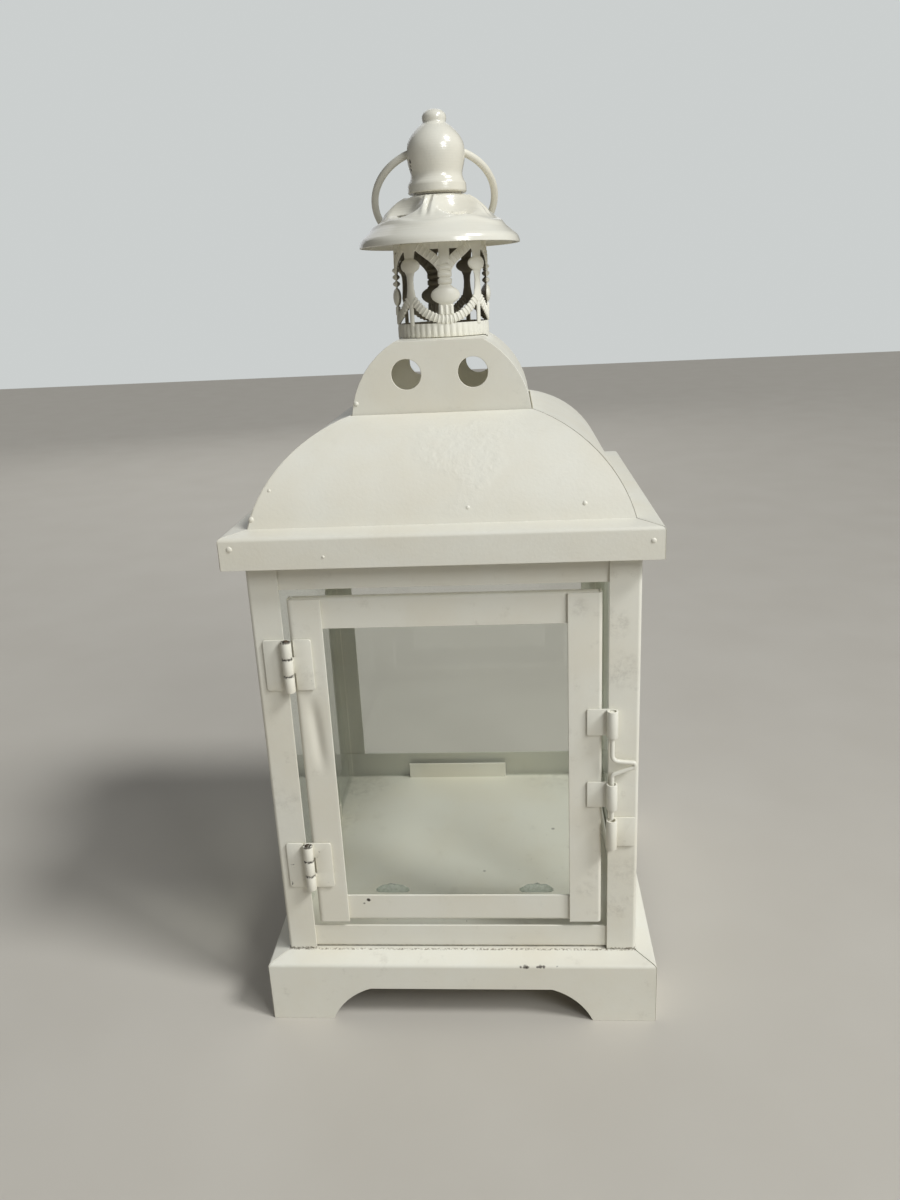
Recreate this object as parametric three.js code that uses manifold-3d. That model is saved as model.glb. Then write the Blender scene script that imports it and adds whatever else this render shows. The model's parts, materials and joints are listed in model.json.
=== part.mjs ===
// Candle lantern of folded, painted sheet metal: a square glazed body on a
// footed plinth, a glazed door on two small butt hinges with a sliding wire
// latch, a curved hip roof, a domed top with round vents, a pierced chimney,
// an embossed cap and a turned finial that carries a swinging ring handle.
//
// Millimetres, +Z up. The origin is on the ground at the centre of the plinth
// and the door faces -Y.
import * as THREE from 'three';
import { mergeVertices } from 'three/addons/utils/BufferGeometryUtils.js';
import Module from 'manifold-3d';

// ---------------------------------------------------------------- sizes ----
const SHEET = 0.8;              // thickness of all folded sheet
const BEND_RADIUS = 1.3;        // outside radius of a folded edge
const SEAM = 0.3;               // gap between pieces that touch

const BODY_WIDTH = 130;         // square body, over the corner posts
const POST_LENGTH = 161.7;
const POST_LEG = 10.6;          // width of each leg of a corner post

const PLINTH_OVERHANG = 7;      // plinth beyond the body, each side
const PLINTH_HEIGHT = 24.2;     // ground to the plinth's outer top edge
const PLINTH_SLOPE = 2;         // rise of the plinth's top up to the posts
const PLINTH_FLANGE = 7.5;      // flat strip that the posts stand on
const ARCH_HEIGHT = 13.8;       // cut-out between the feet
const ARCH_TOP_INSET = 38;      // plinth corner to the flat top of the cut-out
const FOOT_WIDTH = 23.2;        // foot on the ground, from the plinth corner
const ARCH_BULGE = 2.2;         // hollow of the cut-out's curved ends

const RAIL_FLANGE = 3.8;        // inward flange of every rail
const RAIL_HEIGHT = 14.6;       // bottom rails beside and behind
const FRONT_SILL_HEIGHT = 9.4;  // bottom rail under the door
const TOP_RAIL_HEIGHT = 24.4;   // top rails, mostly hidden by the eave
const FRONT_HEAD_HEIGHT = 19.1; // top rail over the door
const GLASS_CHANNEL_LIP = 6;    // inner lip that holds a pane's top edge

const GLASS = 2;                // pane thickness
const FLOOR_LIFT = 0.9;         // floor plate above the rails' flanges
const FLOOR_TAB_WIDTH = 48;     // folded tab that keeps a pane in place
const FLOOR_TAB_HEIGHT = 7.6;
const REAR_TAB_OFFSET = -7.5;   // the rear tab sits off centre

const DOOR_SIDE_GAP = 2.1;      // door to post
const DOOR_SILL_GAP = 2.5;      // door to bottom rail
const DOOR_HEAD_GAP = 3.2;      // door to top rail
const DOOR_STILE = 11.4;        // visible width of the door's frame
const DOOR_RAIL = 10.8;
const DOOR_DEPTH = 4.5;         // depth of the door's folded rim

const HINGE_HEIGHT = 18.5;
const HINGE_LEAF = 8.25;        // hinge axis to the leaf's outer edge
const LEAF_THICKNESS = 0.6;
const LEAF_GAP = 0.2;           // leaf to the face that it is fixed on
const KNUCKLE_RADIUS = 1.8;
const KNUCKLE_GAP = 0.3;        // end play between two knuckles
const PIN_RADIUS = 0.9;
const PIN_CLEARANCE = 0.15;
const PIN_STAND_OUT = 0.35;     // pin beyond the barrel, each end
const UPPER_HINGE_DROP = 23.1;  // door's top edge to the hinge's middle
const LOWER_HINGE_LIFT = 25.1;  // door's bottom edge to the hinge's middle

const GUIDE_RADIUS = 1.9;       // rolled tubes of the latch
const WIRE_RADIUS = 0.95;       // latch wire
const WIRE_CLEARANCE = 0.4;
const GUIDE_LEAF = 8.4;         // latch axis to the leaf's outer edge
const LATCH_OVERLAP = 1.1;      // latch axis past the post's inner edge
const KEEPER_FOOT = 32.6;       // door's bottom edge to the keeper's bottom
const KEEPER_HEIGHT = 11.5;
const KEEPER_SPACE = 4.4;       // keeper to lower guide
const GUIDE_HEIGHT = 9.8;
const GUIDE_SPACE = 17.9;       // lower guide to upper guide
const LATCH_DROP = 2.8;         // travel down into the keeper
const TIP_LIFT = 0.5;           // wire's tip above the keeper when open
const THUMB_REACH = 7.7;        // how far the wire's bend stands out sideways

const EAVE_OVERHANG = 6.2;      // eave beyond the body
const FASCIA_HEIGHT = 10.6;
const EAVE_LEDGE = 8;           // sloping strip between fascia and roof
const EAVE_RISE = 1.1;
const ROOF_RISE = 31.7;
const ROOF_BULGE = 6;           // how far a roof panel bows out
const PLATE_LAP = 4;            // dome plates and shell reach inside the roof

const DOME_WIDTH = 62;          // square foot of the dome
const DOME_RISE = 23.9;
const DOME_FLAT = 30;           // flat top that carries the chimney
const VENT_DIAMETER = 10.2;
const VENT_SPACING = 22.8;
const VENT_HEIGHT = 13;         // dome's foot to the vents' middle

const CHIMNEY_RADIUS = 16.8;
const CHIMNEY_HEIGHT = 41;
const CHIMNEY_BAND = 4.7;       // solid ribbed band at the chimney's foot
const WINDOW_COUNT = 8;
const WINDOW_WIDTH = 8;
const WINDOW_HEIGHT = 24;
const HEAD_TURN = 8;            // degrees that chimney and finial stand turned
const FLUE_RADIUS = 14;         // hole in the dome under the chimney

const CAP_RADIUS = 28.6;
const CAP_LIP = 3.4;            // height of the turned-down rim
const CAP_LIP_REACH = 1.85;
const CAP_RISE = 12.8;
const CAP_TOP_RADIUS = 10.2;
const CAP_EAVE_DROP = 9.9;      // how far the rim hangs below the chimney's top

const FINIAL_COLLAR = 10.3;     // radius of the finial's foot
const FINIAL_BULB = 10.2;
const FINIAL_NECK = 9;
const FINIAL_KNOB = 4;
const FINIAL_HEIGHT = 27.3;
const SCREW_RADIUS = 1.9;
const SCREW_HEAD = 3.6;
const SCREW_REACH = 8;          // screw inside the finial
const SCREW_CLEARANCE = 0.25;

const RING_RADIUS = 22;         // to the middle of the wire
const RING_WIRE = 1.3;
const RING_BORE = 3;            // cross hole through the finial
const RING_BORE_HEIGHT = 14.1;  // above the finial's foot
const RING_OFFSET = 1.35;       // wire's middle beyond the bore's axis
const RING_SPLIT = 1;           // gap between the ring's ends in the bore

const ROUND_STEPS = 40;         // facets of a turned piece
const SMALL_STEPS = 20;         // facets of a knuckle or a tube
const WIRE_STEPS = 10;          // facets of a round wire

// --------------------------------------------------------- derived places --
const half = BODY_WIDTH / 2;
const plinthHalf = half + PLINTH_OVERHANG;
const plinthTop = PLINTH_HEIGHT + PLINTH_SLOPE;
const postFoot = plinthTop + SEAM;
const postTop = postFoot + POST_LENGTH;
const openingHalf = half - POST_LEG;

const railFace = half - SHEET - SEAM;          // outer face of the rails
const railBack = railFace - SHEET;
const glassFace = railBack - SEAM;             // outer face of the panes
const glassBack = glassFace - GLASS;
const lipFace = glassBack - SEAM;              // what holds the panes inside
const railTop = postTop - SEAM;
const sillTop = postFoot + FRONT_SILL_HEIGHT;
const headFoot = railTop - FRONT_HEAD_HEIGHT;
const floorFoot = postFoot + SHEET + SEAM + FLOOR_LIFT;
const floorTop = floorFoot + SHEET;
const paneFoot = floorTop + SEAM;
const paneTop = railTop - SHEET - SEAM;

const doorHalf = openingHalf - DOOR_SIDE_GAP;
const doorFoot = sillTop + DOOR_SILL_GAP;
const doorTop = headFoot - DOOR_HEAD_GAP;
const doorBack = half - DOOR_DEPTH;

const hingeX = -(openingHalf + doorHalf) / 2;
const hingeY = -(half + LEAF_GAP + KNUCKLE_RADIUS);
const latchX = openingHalf + LATCH_OVERLAP;
const latchY = -(half + LEAF_GAP + GUIDE_RADIUS);
const keeperFoot = doorFoot + KEEPER_FOOT;
const keeperTop = keeperFoot + KEEPER_HEIGHT;
const lowerGuideFoot = keeperTop + KEEPER_SPACE;
const lowerGuideTop = lowerGuideFoot + GUIDE_HEIGHT;
const upperGuideFoot = lowerGuideTop + GUIDE_SPACE;

const eaveHalf = half + EAVE_OVERHANG;
const fasciaTop = postTop + SEAM;
const roofFootHalf = eaveHalf - EAVE_LEDGE;
const roofFoot = fasciaTop + EAVE_RISE;
const roofTop = roofFoot + ROOF_RISE;
const domeHalf = DOME_WIDTH / 2;
const domeTop = roofTop + DOME_RISE;
const ventZ = roofTop + VENT_HEIGHT;

const chimneyTop = domeTop + CHIMNEY_HEIGHT;
const capFoot = chimneyTop - CAP_EAVE_DROP;
const capTop = capFoot + CAP_LIP + CAP_RISE;
const finialFoot = capTop + SEAM;
const boreZ = finialFoot + RING_BORE_HEIGHT;
const headTurn = THREE.MathUtils.degToRad(HEAD_TURN);

// ----------------------------------------------------------- materials -----
function finish(color, roughness, metalness, opacity = 1) {
  const see = { transparent: opacity < 1, opacity };
  return new THREE.MeshStandardMaterial({ color, roughness, metalness, ...see });
}
const creamPaint = finish(0xe6e0d0, 0.45, 0);
const glossPaint = finish(0xe9e4d6, 0.28, 0);
const paneGlass = finish(0xcfe0d8, 0.05, 0, 0.35);
const bareSteel = finish(0x6f6a62, 0.5, 0.9);

// ----------------------------------------------------- solids and outlines -
const wasm = await Module();
wasm.setup();

const at = (x, y) => new THREE.Vector2(x, y);

// A closed three.js geometry as a Manifold solid.
function toSolid(geometry) {
  const bare = geometry.clone();
  bare.deleteAttribute('normal');
  bare.deleteAttribute('uv');
  const merged = mergeVertices(bare, 1e-4);
  const index = merged.index.array;
  const corners = [];
  for (let i = 0; i < index.length; i += 3) {
    const [a, b, c] = [index[i], index[i + 1], index[i + 2]];
    if (a !== b && b !== c && c !== a) corners.push(a, b, c);
  }
  return new wasm.Manifold(new wasm.Mesh({
    numProp: 3,
    vertProperties: Float32Array.from(merged.attributes.position.array),
    triVerts: Uint32Array.from(corners),
  }));
}

// A Manifold solid as a three.js geometry.
function toGeometry(solid) {
  const mesh = solid.getMesh();
  const geometry = new THREE.BufferGeometry();
  geometry.setAttribute('position', new THREE.BufferAttribute(mesh.vertProperties, 3));
  geometry.setIndex(new THREE.BufferAttribute(mesh.triVerts, 1));
  geometry.computeVertexNormals();
  return geometry;
}

function join(...solids) {
  return solids.reduce((whole, next) => whole.add(next));
}

function cut(solid, ...tools) {
  return tools.reduce((rest, tool) => rest.subtract(tool), solid);
}

function box(x0, x1, y0, y1, z0, z1) {
  const geometry = new THREE.BoxGeometry(x1 - x0, y1 - y0, z1 - z0);
  geometry.translate((x0 + x1) / 2, (y0 + y1) / 2, (z0 + z1) / 2);
  return toSolid(geometry);
}

// The points of an arc from one point to another that bows out to the left.
function arc(from, to, bulge, steps) {
  const chord = to.clone().sub(from);
  const radius = chord.lengthSq() / (8 * bulge) + bulge / 2;
  const left = at(-chord.y, chord.x).normalize();
  const centre = from.clone().addScaledVector(chord, 0.5);
  centre.addScaledVector(left, bulge - radius);
  const sweep = 2 * Math.asin(chord.length() / (2 * radius));
  const points = [];
  for (let i = 0; i <= steps; i += 1) {
    points.push(from.clone().rotateAround(centre, -sweep * (i / steps)));
  }
  return points;
}

// An open outline with its inner corners rounded to one radius.
function rounded(points, radius, steps = 3) {
  const path = [points[0]];
  for (let i = 1; i < points.length - 1; i += 1) {
    const back = points[i - 1].clone().sub(points[i]).normalize();
    const ahead = points[i + 1].clone().sub(points[i]).normalize();
    const halfAngle = Math.acos(back.dot(ahead)) / 2;
    const reach = radius / Math.tan(halfAngle);
    const centre = back.clone().add(ahead).normalize();
    centre.multiplyScalar(radius / Math.sin(halfAngle)).add(points[i]);
    const start = points[i].clone().addScaledVector(back, reach);
    const end = points[i].clone().addScaledVector(ahead, reach);
    const a = start.clone().sub(centre);
    const b = end.clone().sub(centre);
    const turn = Math.atan2(a.cross(b), a.dot(b));
    for (let k = 0; k <= steps; k += 1) {
      path.push(start.clone().rotateAround(centre, (turn * k) / steps));
    }
  }
  path.push(points[points.length - 1]);
  return path;
}

// The closed outline of a sheet whose outer face follows the given points and
// whose thickness lies to their right.
function sheet(points, thickness = SHEET) {
  const inner = points.map((point, i) => {
    const normals = [];
    for (const [a, b] of [[points[i - 1], point], [point, points[i + 1]]]) {
      if (a && b) normals.push(at(b.y - a.y, a.x - b.x).normalize());
    }
    const sum = normals.reduce((total, n) => total.add(n), at(0, 0));
    const share = normals.length === 2 ? 2 / sum.lengthSq() : 1;
    return point.clone().addScaledVector(sum, share * thickness);
  });
  return points.concat(inner.reverse());
}

function extrude(outline, depth) {
  const shape = new THREE.Shape(outline);
  return new THREE.ExtrudeGeometry(shape, { depth, bevelEnabled: false, curveSegments: 12 });
}

// An outline in (x, y) that stands from one height to another.
function upright(outline, z0, z1) {
  return toSolid(extrude(outline, z1 - z0).translate(0, 0, z0));
}

// An outline in (x, z) that runs along Y between two planes.
function through(outline, y0, y1) {
  const geometry = extrude(outline, y1 - y0);
  geometry.rotateX(Math.PI / 2);
  return toSolid(geometry.translate(0, y1, 0));
}

// An outline in (distance from the middle, z) that runs along X, as a wall
// that faces -Y.
function across(outline, x0, x1) {
  const geometry = extrude(outline, x1 - x0);
  const toWorld = new THREE.Matrix4().makeBasis(
    new THREE.Vector3(0, -1, 0),
    new THREE.Vector3(0, 0, 1),
    new THREE.Vector3(-1, 0, 0),
  );
  geometry.applyMatrix4(toWorld);
  return toSolid(geometry.translate(x1, 0, 0));
}

// A closed (radius, z) outline turned about the Z axis.
function turned(outline, steps = ROUND_STEPS) {
  return toSolid(new THREE.LatheGeometry(outline, steps).rotateX(Math.PI / 2));
}

// A round bar along Z.
function bar(radius, x, y, z0, z1, steps = SMALL_STEPS) {
  const geometry = new THREE.CylinderGeometry(radius, radius, z1 - z0, steps);
  geometry.rotateX(Math.PI / 2);
  return toSolid(geometry.translate(x, y, (z0 + z1) / 2));
}

// A round wire along a curve.
function wire(curve, radius, steps) {
  const section = new THREE.Shape();
  section.absarc(0, 0, radius, 0, 2 * Math.PI, false);
  const ring = section.getSpacedPoints(WIRE_STEPS).slice(0, WIRE_STEPS);
  return new THREE.ExtrudeGeometry(new THREE.Shape(ring), { steps, extrudePath: curve });
}

// What lies in front of the two upright planes through the body's corners, so
// that four walls meet at mitres with one seam between each two.
const MITRE_REACH = plinthHalf + eaveHalf;
const mitreStep = (SEAM / 2) * Math.SQRT2;
const mitre = upright(
  [at(0, -mitreStep), at(-MITRE_REACH, -MITRE_REACH - mitreStep),
    at(MITRE_REACH, -MITRE_REACH - mitreStep)],
  -1,
  finialFoot,
);

// ------------------------------------------------------------- assembly ----
const lantern = new THREE.Group();
lantern.name = 'candle_lantern';

function place(name, shape, material, parent = lantern) {
  const geometry = shape.isBufferGeometry ? shape : toGeometry(shape);
  const mesh = new THREE.Mesh(geometry, material);
  mesh.name = name;
  parent.add(mesh);
  return mesh;
}

// One wall that faces -Y, turned to stand on each of the named sides.
const SIDES = ['front', 'right', 'back', 'left'];
function placeSides(before, after, shape, material, sides = SIDES) {
  for (const side of sides) {
    const mesh = place(before + side + after, shape, material);
    mesh.rotation.z = (SIDES.indexOf(side) * Math.PI) / 2;
  }
}

// ---- plinth: four mitred strips with feet
const plinthProfile = rounded(
  [at(plinthHalf, 0), at(plinthHalf, PLINTH_HEIGHT), at(half, plinthTop),
    at(half - PLINTH_FLANGE, plinthTop)].reverse(),
  BEND_RADIUS,
);
const archEnd = plinthHalf - FOOT_WIDTH;
const archTop = plinthHalf - ARCH_TOP_INSET;
const archOutline = [
  at(-archEnd, -1),
  ...arc(at(-archEnd, 0), at(-archTop, ARCH_HEIGHT), ARCH_BULGE, 8),
  ...arc(at(archTop, ARCH_HEIGHT), at(archEnd, 0), ARCH_BULGE, 8),
  at(archEnd, -1),
];
const arch = through(archOutline, -plinthHalf - 1, -plinthHalf + PLINTH_FLANGE);
const plinthStrip = across(sheet(plinthProfile), -plinthHalf, plinthHalf);
placeSides('plinth_', '', cut(plinthStrip.intersect(mitre), arch), creamPaint);

// ---- corner posts: folded angles
const postProfile = rounded(
  [at(-half, -openingHalf), at(-half, -half), at(-openingHalf, -half)].reverse(),
  BEND_RADIUS,
);
const post = upright(sheet(postProfile), postFoot, postTop);
['front_left', 'front_right', 'back_right', 'back_left'].forEach((corner, i) => {
  place(`post_${corner}`, post, creamPaint).rotation.z = (i * Math.PI) / 2;
});

// ---- rails behind the post legs
function rail(profile) {
  return across(sheet(rounded(profile, BEND_RADIUS)), -half, half).intersect(mitre);
}
function bottomRail(height) {
  return rail([at(railFace - RAIL_FLANGE, postFoot), at(railFace, postFoot),
    at(railFace, postFoot + height)].reverse());
}
const topRail = rail([at(railFace, railTop - TOP_RAIL_HEIGHT), at(railFace, railTop),
  at(lipFace - SHEET, railTop), at(lipFace - SHEET, railTop - GLASS_CHANNEL_LIP)].reverse());
const headRail = rail([at(railFace, headFoot), at(railFace, railTop),
  at(railFace - RAIL_FLANGE, railTop)].reverse());
const glazedSides = ['right', 'back', 'left'];
placeSides('', '_bottom_rail', bottomRail(FRONT_SILL_HEIGHT), creamPaint, ['front']);
placeSides('', '_bottom_rail', bottomRail(RAIL_HEIGHT), creamPaint, glazedSides);
placeSides('', '_top_rail', headRail, creamPaint, ['front']);
placeSides('', '_top_rail', topRail, creamPaint, glazedSides);

// ---- floor plate with folded tabs, and the three fixed panes
const floorSlab = box(-glassFace, glassFace, -glassFace, glassFace, floorFoot, floorTop);
function floorTab(offset, turn) {
  const side = FLOOR_TAB_WIDTH / 2;
  const tab = box(offset - side, offset + side, lipFace - SHEET, lipFace,
    floorFoot, floorTop + FLOOR_TAB_HEIGHT);
  return tab.rotate([0, 0, turn]);
}
const floorPlate = join(floorSlab, floorTab(REAR_TAB_OFFSET, 0), floorTab(0, 90), floorTab(0, -90));
place('floor_plate', floorPlate, creamPaint);
const pane = box(-lipFace, lipFace, -glassFace, -glassBack, paneFoot, paneTop);
placeSides('glass_', '', pane, paneGlass, glazedSides);

// ---- door: four folded strips around a pane
const door = new THREE.Group();
door.name = 'door';
lantern.add(door);

const stileProfile = rounded(
  [at(-doorHalf, -doorBack), at(-doorHalf, -half), at(-doorHalf + DOOR_STILE, -half)].reverse(),
  BEND_RADIUS,
);
const stile = upright(sheet(stileProfile), doorFoot, doorTop);
place('door_hinge_stile', stile, creamPaint, door);
place('door_latch_stile', stile.mirror([1, 0, 0]), creamPaint, door);

const doorRailHalf = doorHalf - SHEET - SEAM;
const lowerProfile = [at(doorBack, doorFoot), at(railFace, doorFoot), at(railFace, doorFoot + DOOR_RAIL)];
const upperProfile = [at(railFace, doorTop - DOOR_RAIL), at(railFace, doorTop), at(doorBack, doorTop)];
for (const [name, profile] of [['door_bottom_rail', lowerProfile], ['door_top_rail', upperProfile]]) {
  const strip = sheet(rounded(profile.reverse(), BEND_RADIUS));
  place(name, across(strip, -doorRailHalf, doorRailHalf), creamPaint, door);
}
const paneInset = SHEET + SEAM;
const doorPane = box(-doorRailHalf + SEAM, doorRailHalf - SEAM, -glassFace, -glassBack,
  doorFoot + paneInset, doorTop - paneInset);
place('door_glass', doorPane, paneGlass, door);

// ---- butt hinges. A leaf is a plate whose edge is rolled into knuckles.
const leafBack = -(half + LEAF_GAP);
const leafFront = leafBack - LEAF_THICKNESS;

// direction is -1 for the leaf on the post and +1 for the leaf on the door.
// knuckles lists the thirds of the barrel that belong to this leaf.
function hingeLeaf(direction, knuckles, foot) {
  const third = HINGE_HEIGHT / 3;
  const span = (a, b) => [hingeX + direction * a, hingeX + direction * b].sort((p, q) => p - q);
  const barrelClear = KNUCKLE_RADIUS + KNUCKLE_GAP;
  const pieces = [box(...span(barrelClear, HINGE_LEAF), leafFront, leafBack, foot, foot + HINGE_HEIGHT)];
  for (const k of knuckles) {
    const low = foot + k * third + (k > 0 ? KNUCKLE_GAP / 2 : 0);
    const high = foot + (k + 1) * third - (k < 2 ? KNUCKLE_GAP / 2 : 0);
    pieces.push(bar(KNUCKLE_RADIUS, hingeX, hingeY, low, high));
    pieces.push(box(...span(0, barrelClear + SEAM), leafFront, leafBack, low, high));
  }
  const bore = bar(PIN_RADIUS + PIN_CLEARANCE, hingeX, hingeY, foot - 1, foot + HINGE_HEIGHT + 1);
  return cut(join(...pieces), bore);
}

function hinge(name, middle, postKnuckles, doorKnuckles) {
  const foot = middle - HINGE_HEIGHT / 2;
  place(`${name}_post_leaf`, hingeLeaf(-1, postKnuckles, foot), creamPaint);
  place(`${name}_door_leaf`, hingeLeaf(1, doorKnuckles, foot), creamPaint, door);
  const pin = bar(PIN_RADIUS, hingeX, hingeY, foot - PIN_STAND_OUT, foot + HINGE_HEIGHT + PIN_STAND_OUT);
  place(`${name}_pin`, pin, bareSteel);
}
hinge('hinge_upper', doorTop - UPPER_HINGE_DROP, [0, 2], [1]);
hinge('hinge_lower', doorFoot + LOWER_HINGE_LIFT, [1], [0, 2]);

// ---- latch: two guides on the door, a keeper on the post, and a bent wire
function rolledTube(direction, foot, top) {
  const [x0, x1] = [latchX, latchX + direction * GUIDE_LEAF].sort((p, q) => p - q);
  const tube = bar(GUIDE_RADIUS, latchX, latchY, foot, top);
  const leaf = box(x0, x1, leafFront, leafBack, foot, top);
  const bore = bar(WIRE_RADIUS + WIRE_CLEARANCE, latchX, latchY, foot - 1, top + 1);
  return cut(join(tube, leaf), bore);
}
place('latch_guide_upper', rolledTube(-1, upperGuideFoot, upperGuideFoot + GUIDE_HEIGHT), creamPaint, door);
place('latch_guide_lower', rolledTube(-1, lowerGuideFoot, lowerGuideTop), creamPaint, door);
place('latch_keeper', rolledTube(1, keeperFoot, keeperTop), creamPaint);

// The wire runs down from the upper guide, swings out to the side for the
// thumb, comes back to the lower guide and ends just over the keeper.
function latchWire() {
  const tip = keeperTop + TIP_LIFT;
  const lowBend = lowerGuideTop + LATCH_DROP + WIRE_CLEARANCE;
  const highBend = upperGuideFoot - LATCH_DROP + WIRE_CLEARANCE;
  const rise = highBend - lowBend;
  const spot = (dx, z) => new THREE.Vector3(latchX + dx, latchY, z);
  const corners = [
    spot(0, upperGuideFoot + GUIDE_HEIGHT - TIP_LIFT),
    spot(0, lowBend + 0.62 * rise),
    spot(THUMB_REACH, lowBend + 0.5 * rise),
    spot(0, lowBend),
    spot(0, tip),
  ];
  const radii = [0, 3.4, 1.5, 1.6, 0];
  const path = new THREE.CurvePath();
  let from = corners[0];
  for (let i = 1; i < corners.length - 1; i += 1) {
    const back = corners[i - 1].clone().sub(corners[i]).normalize();
    const ahead = corners[i + 1].clone().sub(corners[i]).normalize();
    const enter = corners[i].clone().addScaledVector(back, radii[i]);
    const leave = corners[i].clone().addScaledVector(ahead, radii[i]);
    path.add(new THREE.LineCurve3(from, enter));
    path.add(new THREE.QuadraticBezierCurve3(enter, corners[i], leave));
    from = leave;
  }
  path.add(new THREE.LineCurve3(from, corners[corners.length - 1]));
  return wire(path, WIRE_RADIUS, 70);
}
place('latch_wire', latchWire(), creamPaint, door);

// ---- roof: four bowed panels, each folded on into its ledge and fascia
const roofHead = at(domeHalf + 2 * SEAM, roofTop);
const roofProfile = rounded(
  [at(eaveHalf, fasciaTop - FASCIA_HEIGHT), at(eaveHalf, fasciaTop), at(roofFootHalf, roofFoot)],
  BEND_RADIUS,
).slice(0, -1).concat(arc(roofHead, at(roofFootHalf, roofFoot), ROOF_BULGE, 14).reverse());
const roofPanel = across(sheet(roofProfile.reverse()), -eaveHalf, eaveHalf).intersect(mitre);
placeSides('roof_', '', roofPanel, creamPaint);

// ---- dome: a sheet bent over from side to side between two upright plates
const flatHalf = DOME_FLAT / 2;
const archCentre = (roofTop + domeTop) / 2
  - (domeHalf ** 2 - flatHalf ** 2) / (2 * DOME_RISE);
const archRadius = Math.hypot(domeHalf, roofTop - archCentre);

// The dome's outline in (x, z), from the left foot over to the right foot. The
// outline lies inset inside the outer faces.
function domeOutline(inset, foot) {
  const radius = archRadius - inset;
  const top = domeTop - inset;
  const start = Math.asin((roofTop - archCentre) / archRadius);
  const end = Math.asin((top - archCentre) / radius);
  const right = [at(radius * Math.cos(start), foot)];
  for (let i = 0; i <= 8; i += 1) {
    const angle = start + ((end - start) * i) / 8;
    right.push(at(radius * Math.cos(angle), archCentre + radius * Math.sin(angle)));
  }
  const left = right.map((point) => at(-point.x, point.y));
  return left.concat(right.reverse());
}
const lapFoot = roofTop - PLATE_LAP;
const domeInside = domeHalf - SHEET;
const vents = [-1, 1].map((side) => {
  const vent = new THREE.CylinderGeometry(VENT_DIAMETER / 2, VENT_DIAMETER / 2, 4, 32);
  return toSolid(vent.translate((side * VENT_SPACING) / 2, -domeHalf, ventZ));
});
const domePlate = cut(through(domeOutline(0, lapFoot), -domeHalf, -domeInside), ...vents);
placeSides('dome_', '_plate', domePlate, creamPaint, ['front', 'back']);

const shellHalf = domeInside - SEAM;
const shellSolid = through(domeOutline(0, lapFoot), -shellHalf, shellHalf);
const shellRoom = through(domeOutline(SHEET, lapFoot - 1), -shellHalf - 1, shellHalf + 1);
const flue = bar(FLUE_RADIUS, 0, 0, domeTop - 2 * SHEET, domeTop + 1, ROUND_STEPS);
place('dome_shell', cut(shellSolid, shellRoom, flue), creamPaint);

// ---- chimney: a pierced tube whose foot follows the dome
function chimney() {
  const foot = domeTop - 2 * SEAM - (CHIMNEY_RADIUS - flatHalf);
  const inner = CHIMNEY_RADIUS - SHEET;
  const tube = turned([at(inner, foot), at(CHIMNEY_RADIUS, foot), at(CHIMNEY_RADIUS, chimneyTop),
    at(inner, chimneyTop), at(inner, foot)]);
  const windows = [];
  const windowFoot = domeTop + CHIMNEY_BAND;
  const archSteps = 8;
  const corner = WINDOW_WIDTH / 2;
  const outline = [at(-corner, windowFoot), at(corner, windowFoot)];
  for (let i = 0; i <= archSteps; i += 1) {
    const angle = (Math.PI * i) / archSteps;
    const rise = windowFoot + WINDOW_HEIGHT - corner + corner * Math.sin(angle);
    outline.push(at(corner * Math.cos(angle), rise));
  }
  const opening = through(outline, -CHIMNEY_RADIUS - 1, -inner + 2);
  for (let i = 0; i < WINDOW_COUNT; i += 1) {
    windows.push(opening.rotate([0, 0, HEAD_TURN + (360 * (i + 0.5)) / WINDOW_COUNT]));
  }
  const clearance = through(domeOutline(-SEAM, lapFoot), -domeHalf, domeHalf);
  return cut(tube, clearance, ...windows);
}
place('chimney', chimney(), creamPaint);

// ---- cap: a cone with a rolled lip, on top of the chimney
const capLipTop = capFoot + CAP_LIP;
const capLip = arc(at(CAP_RADIUS, capFoot), at(CAP_RADIUS - CAP_LIP_REACH, capLipTop), -0.5, 4);
const capSlope = [at(CAP_TOP_RADIUS, capTop), ...capLip.reverse()];
function cap() {
  const hole = SCREW_RADIUS + SCREW_CLEARANCE;
  const outline = sheet([at(hole, capTop), ...capSlope]);
  return turned([...outline, outline[0]].reverse());
}
place('chimney_cap', cap(), glossPaint);

// ---- finial: turned, with a screw from below and a cross hole for the ring
function finialOutline() {
  const z = (share) => finialFoot + share * FINIAL_HEIGHT;
  const curve = new THREE.SplineCurve([
    at(FINIAL_NECK, z(0.245)), at(FINIAL_NECK + 0.25, z(0.33)), at(FINIAL_BULB - 0.1, z(0.45)),
    at(FINIAL_BULB, z(0.54)), at(FINIAL_BULB - 0.8, z(0.65)), at(FINIAL_BULB - 2.9, z(0.745)),
    at(FINIAL_KNOB + 0.1, z(0.81)),
  ]);
  const knob = [];
  for (let i = 0; i <= 6; i += 1) {
    const angle = -0.35 + ((Math.PI / 2 + 0.35) * i) / 6;
    knob.push(at(FINIAL_KNOB * Math.cos(angle), z(0.875) + 0.125 * FINIAL_HEIGHT * Math.sin(angle)));
  }
  knob[knob.length - 1].x = 0;
  return [at(0, finialFoot), at(FINIAL_COLLAR, finialFoot), at(FINIAL_COLLAR, z(0.165)),
    ...curve.getPoints(18), ...knob];
}
function finial() {
  const thread = SCREW_RADIUS + SCREW_CLEARANCE;
  const screwHole = bar(thread, 0, 0, finialFoot - 1, finialFoot + SCREW_REACH + SEAM);
  const ringHole = new THREE.CylinderGeometry(RING_BORE, RING_BORE, 3 * FINIAL_BULB, SMALL_STEPS);
  ringHole.rotateZ(Math.PI / 2 + headTurn).translate(0, 0, boreZ);
  return cut(turned(finialOutline()), screwHole, toSolid(ringHole));
}
place('finial', finial(), glossPaint);

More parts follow.
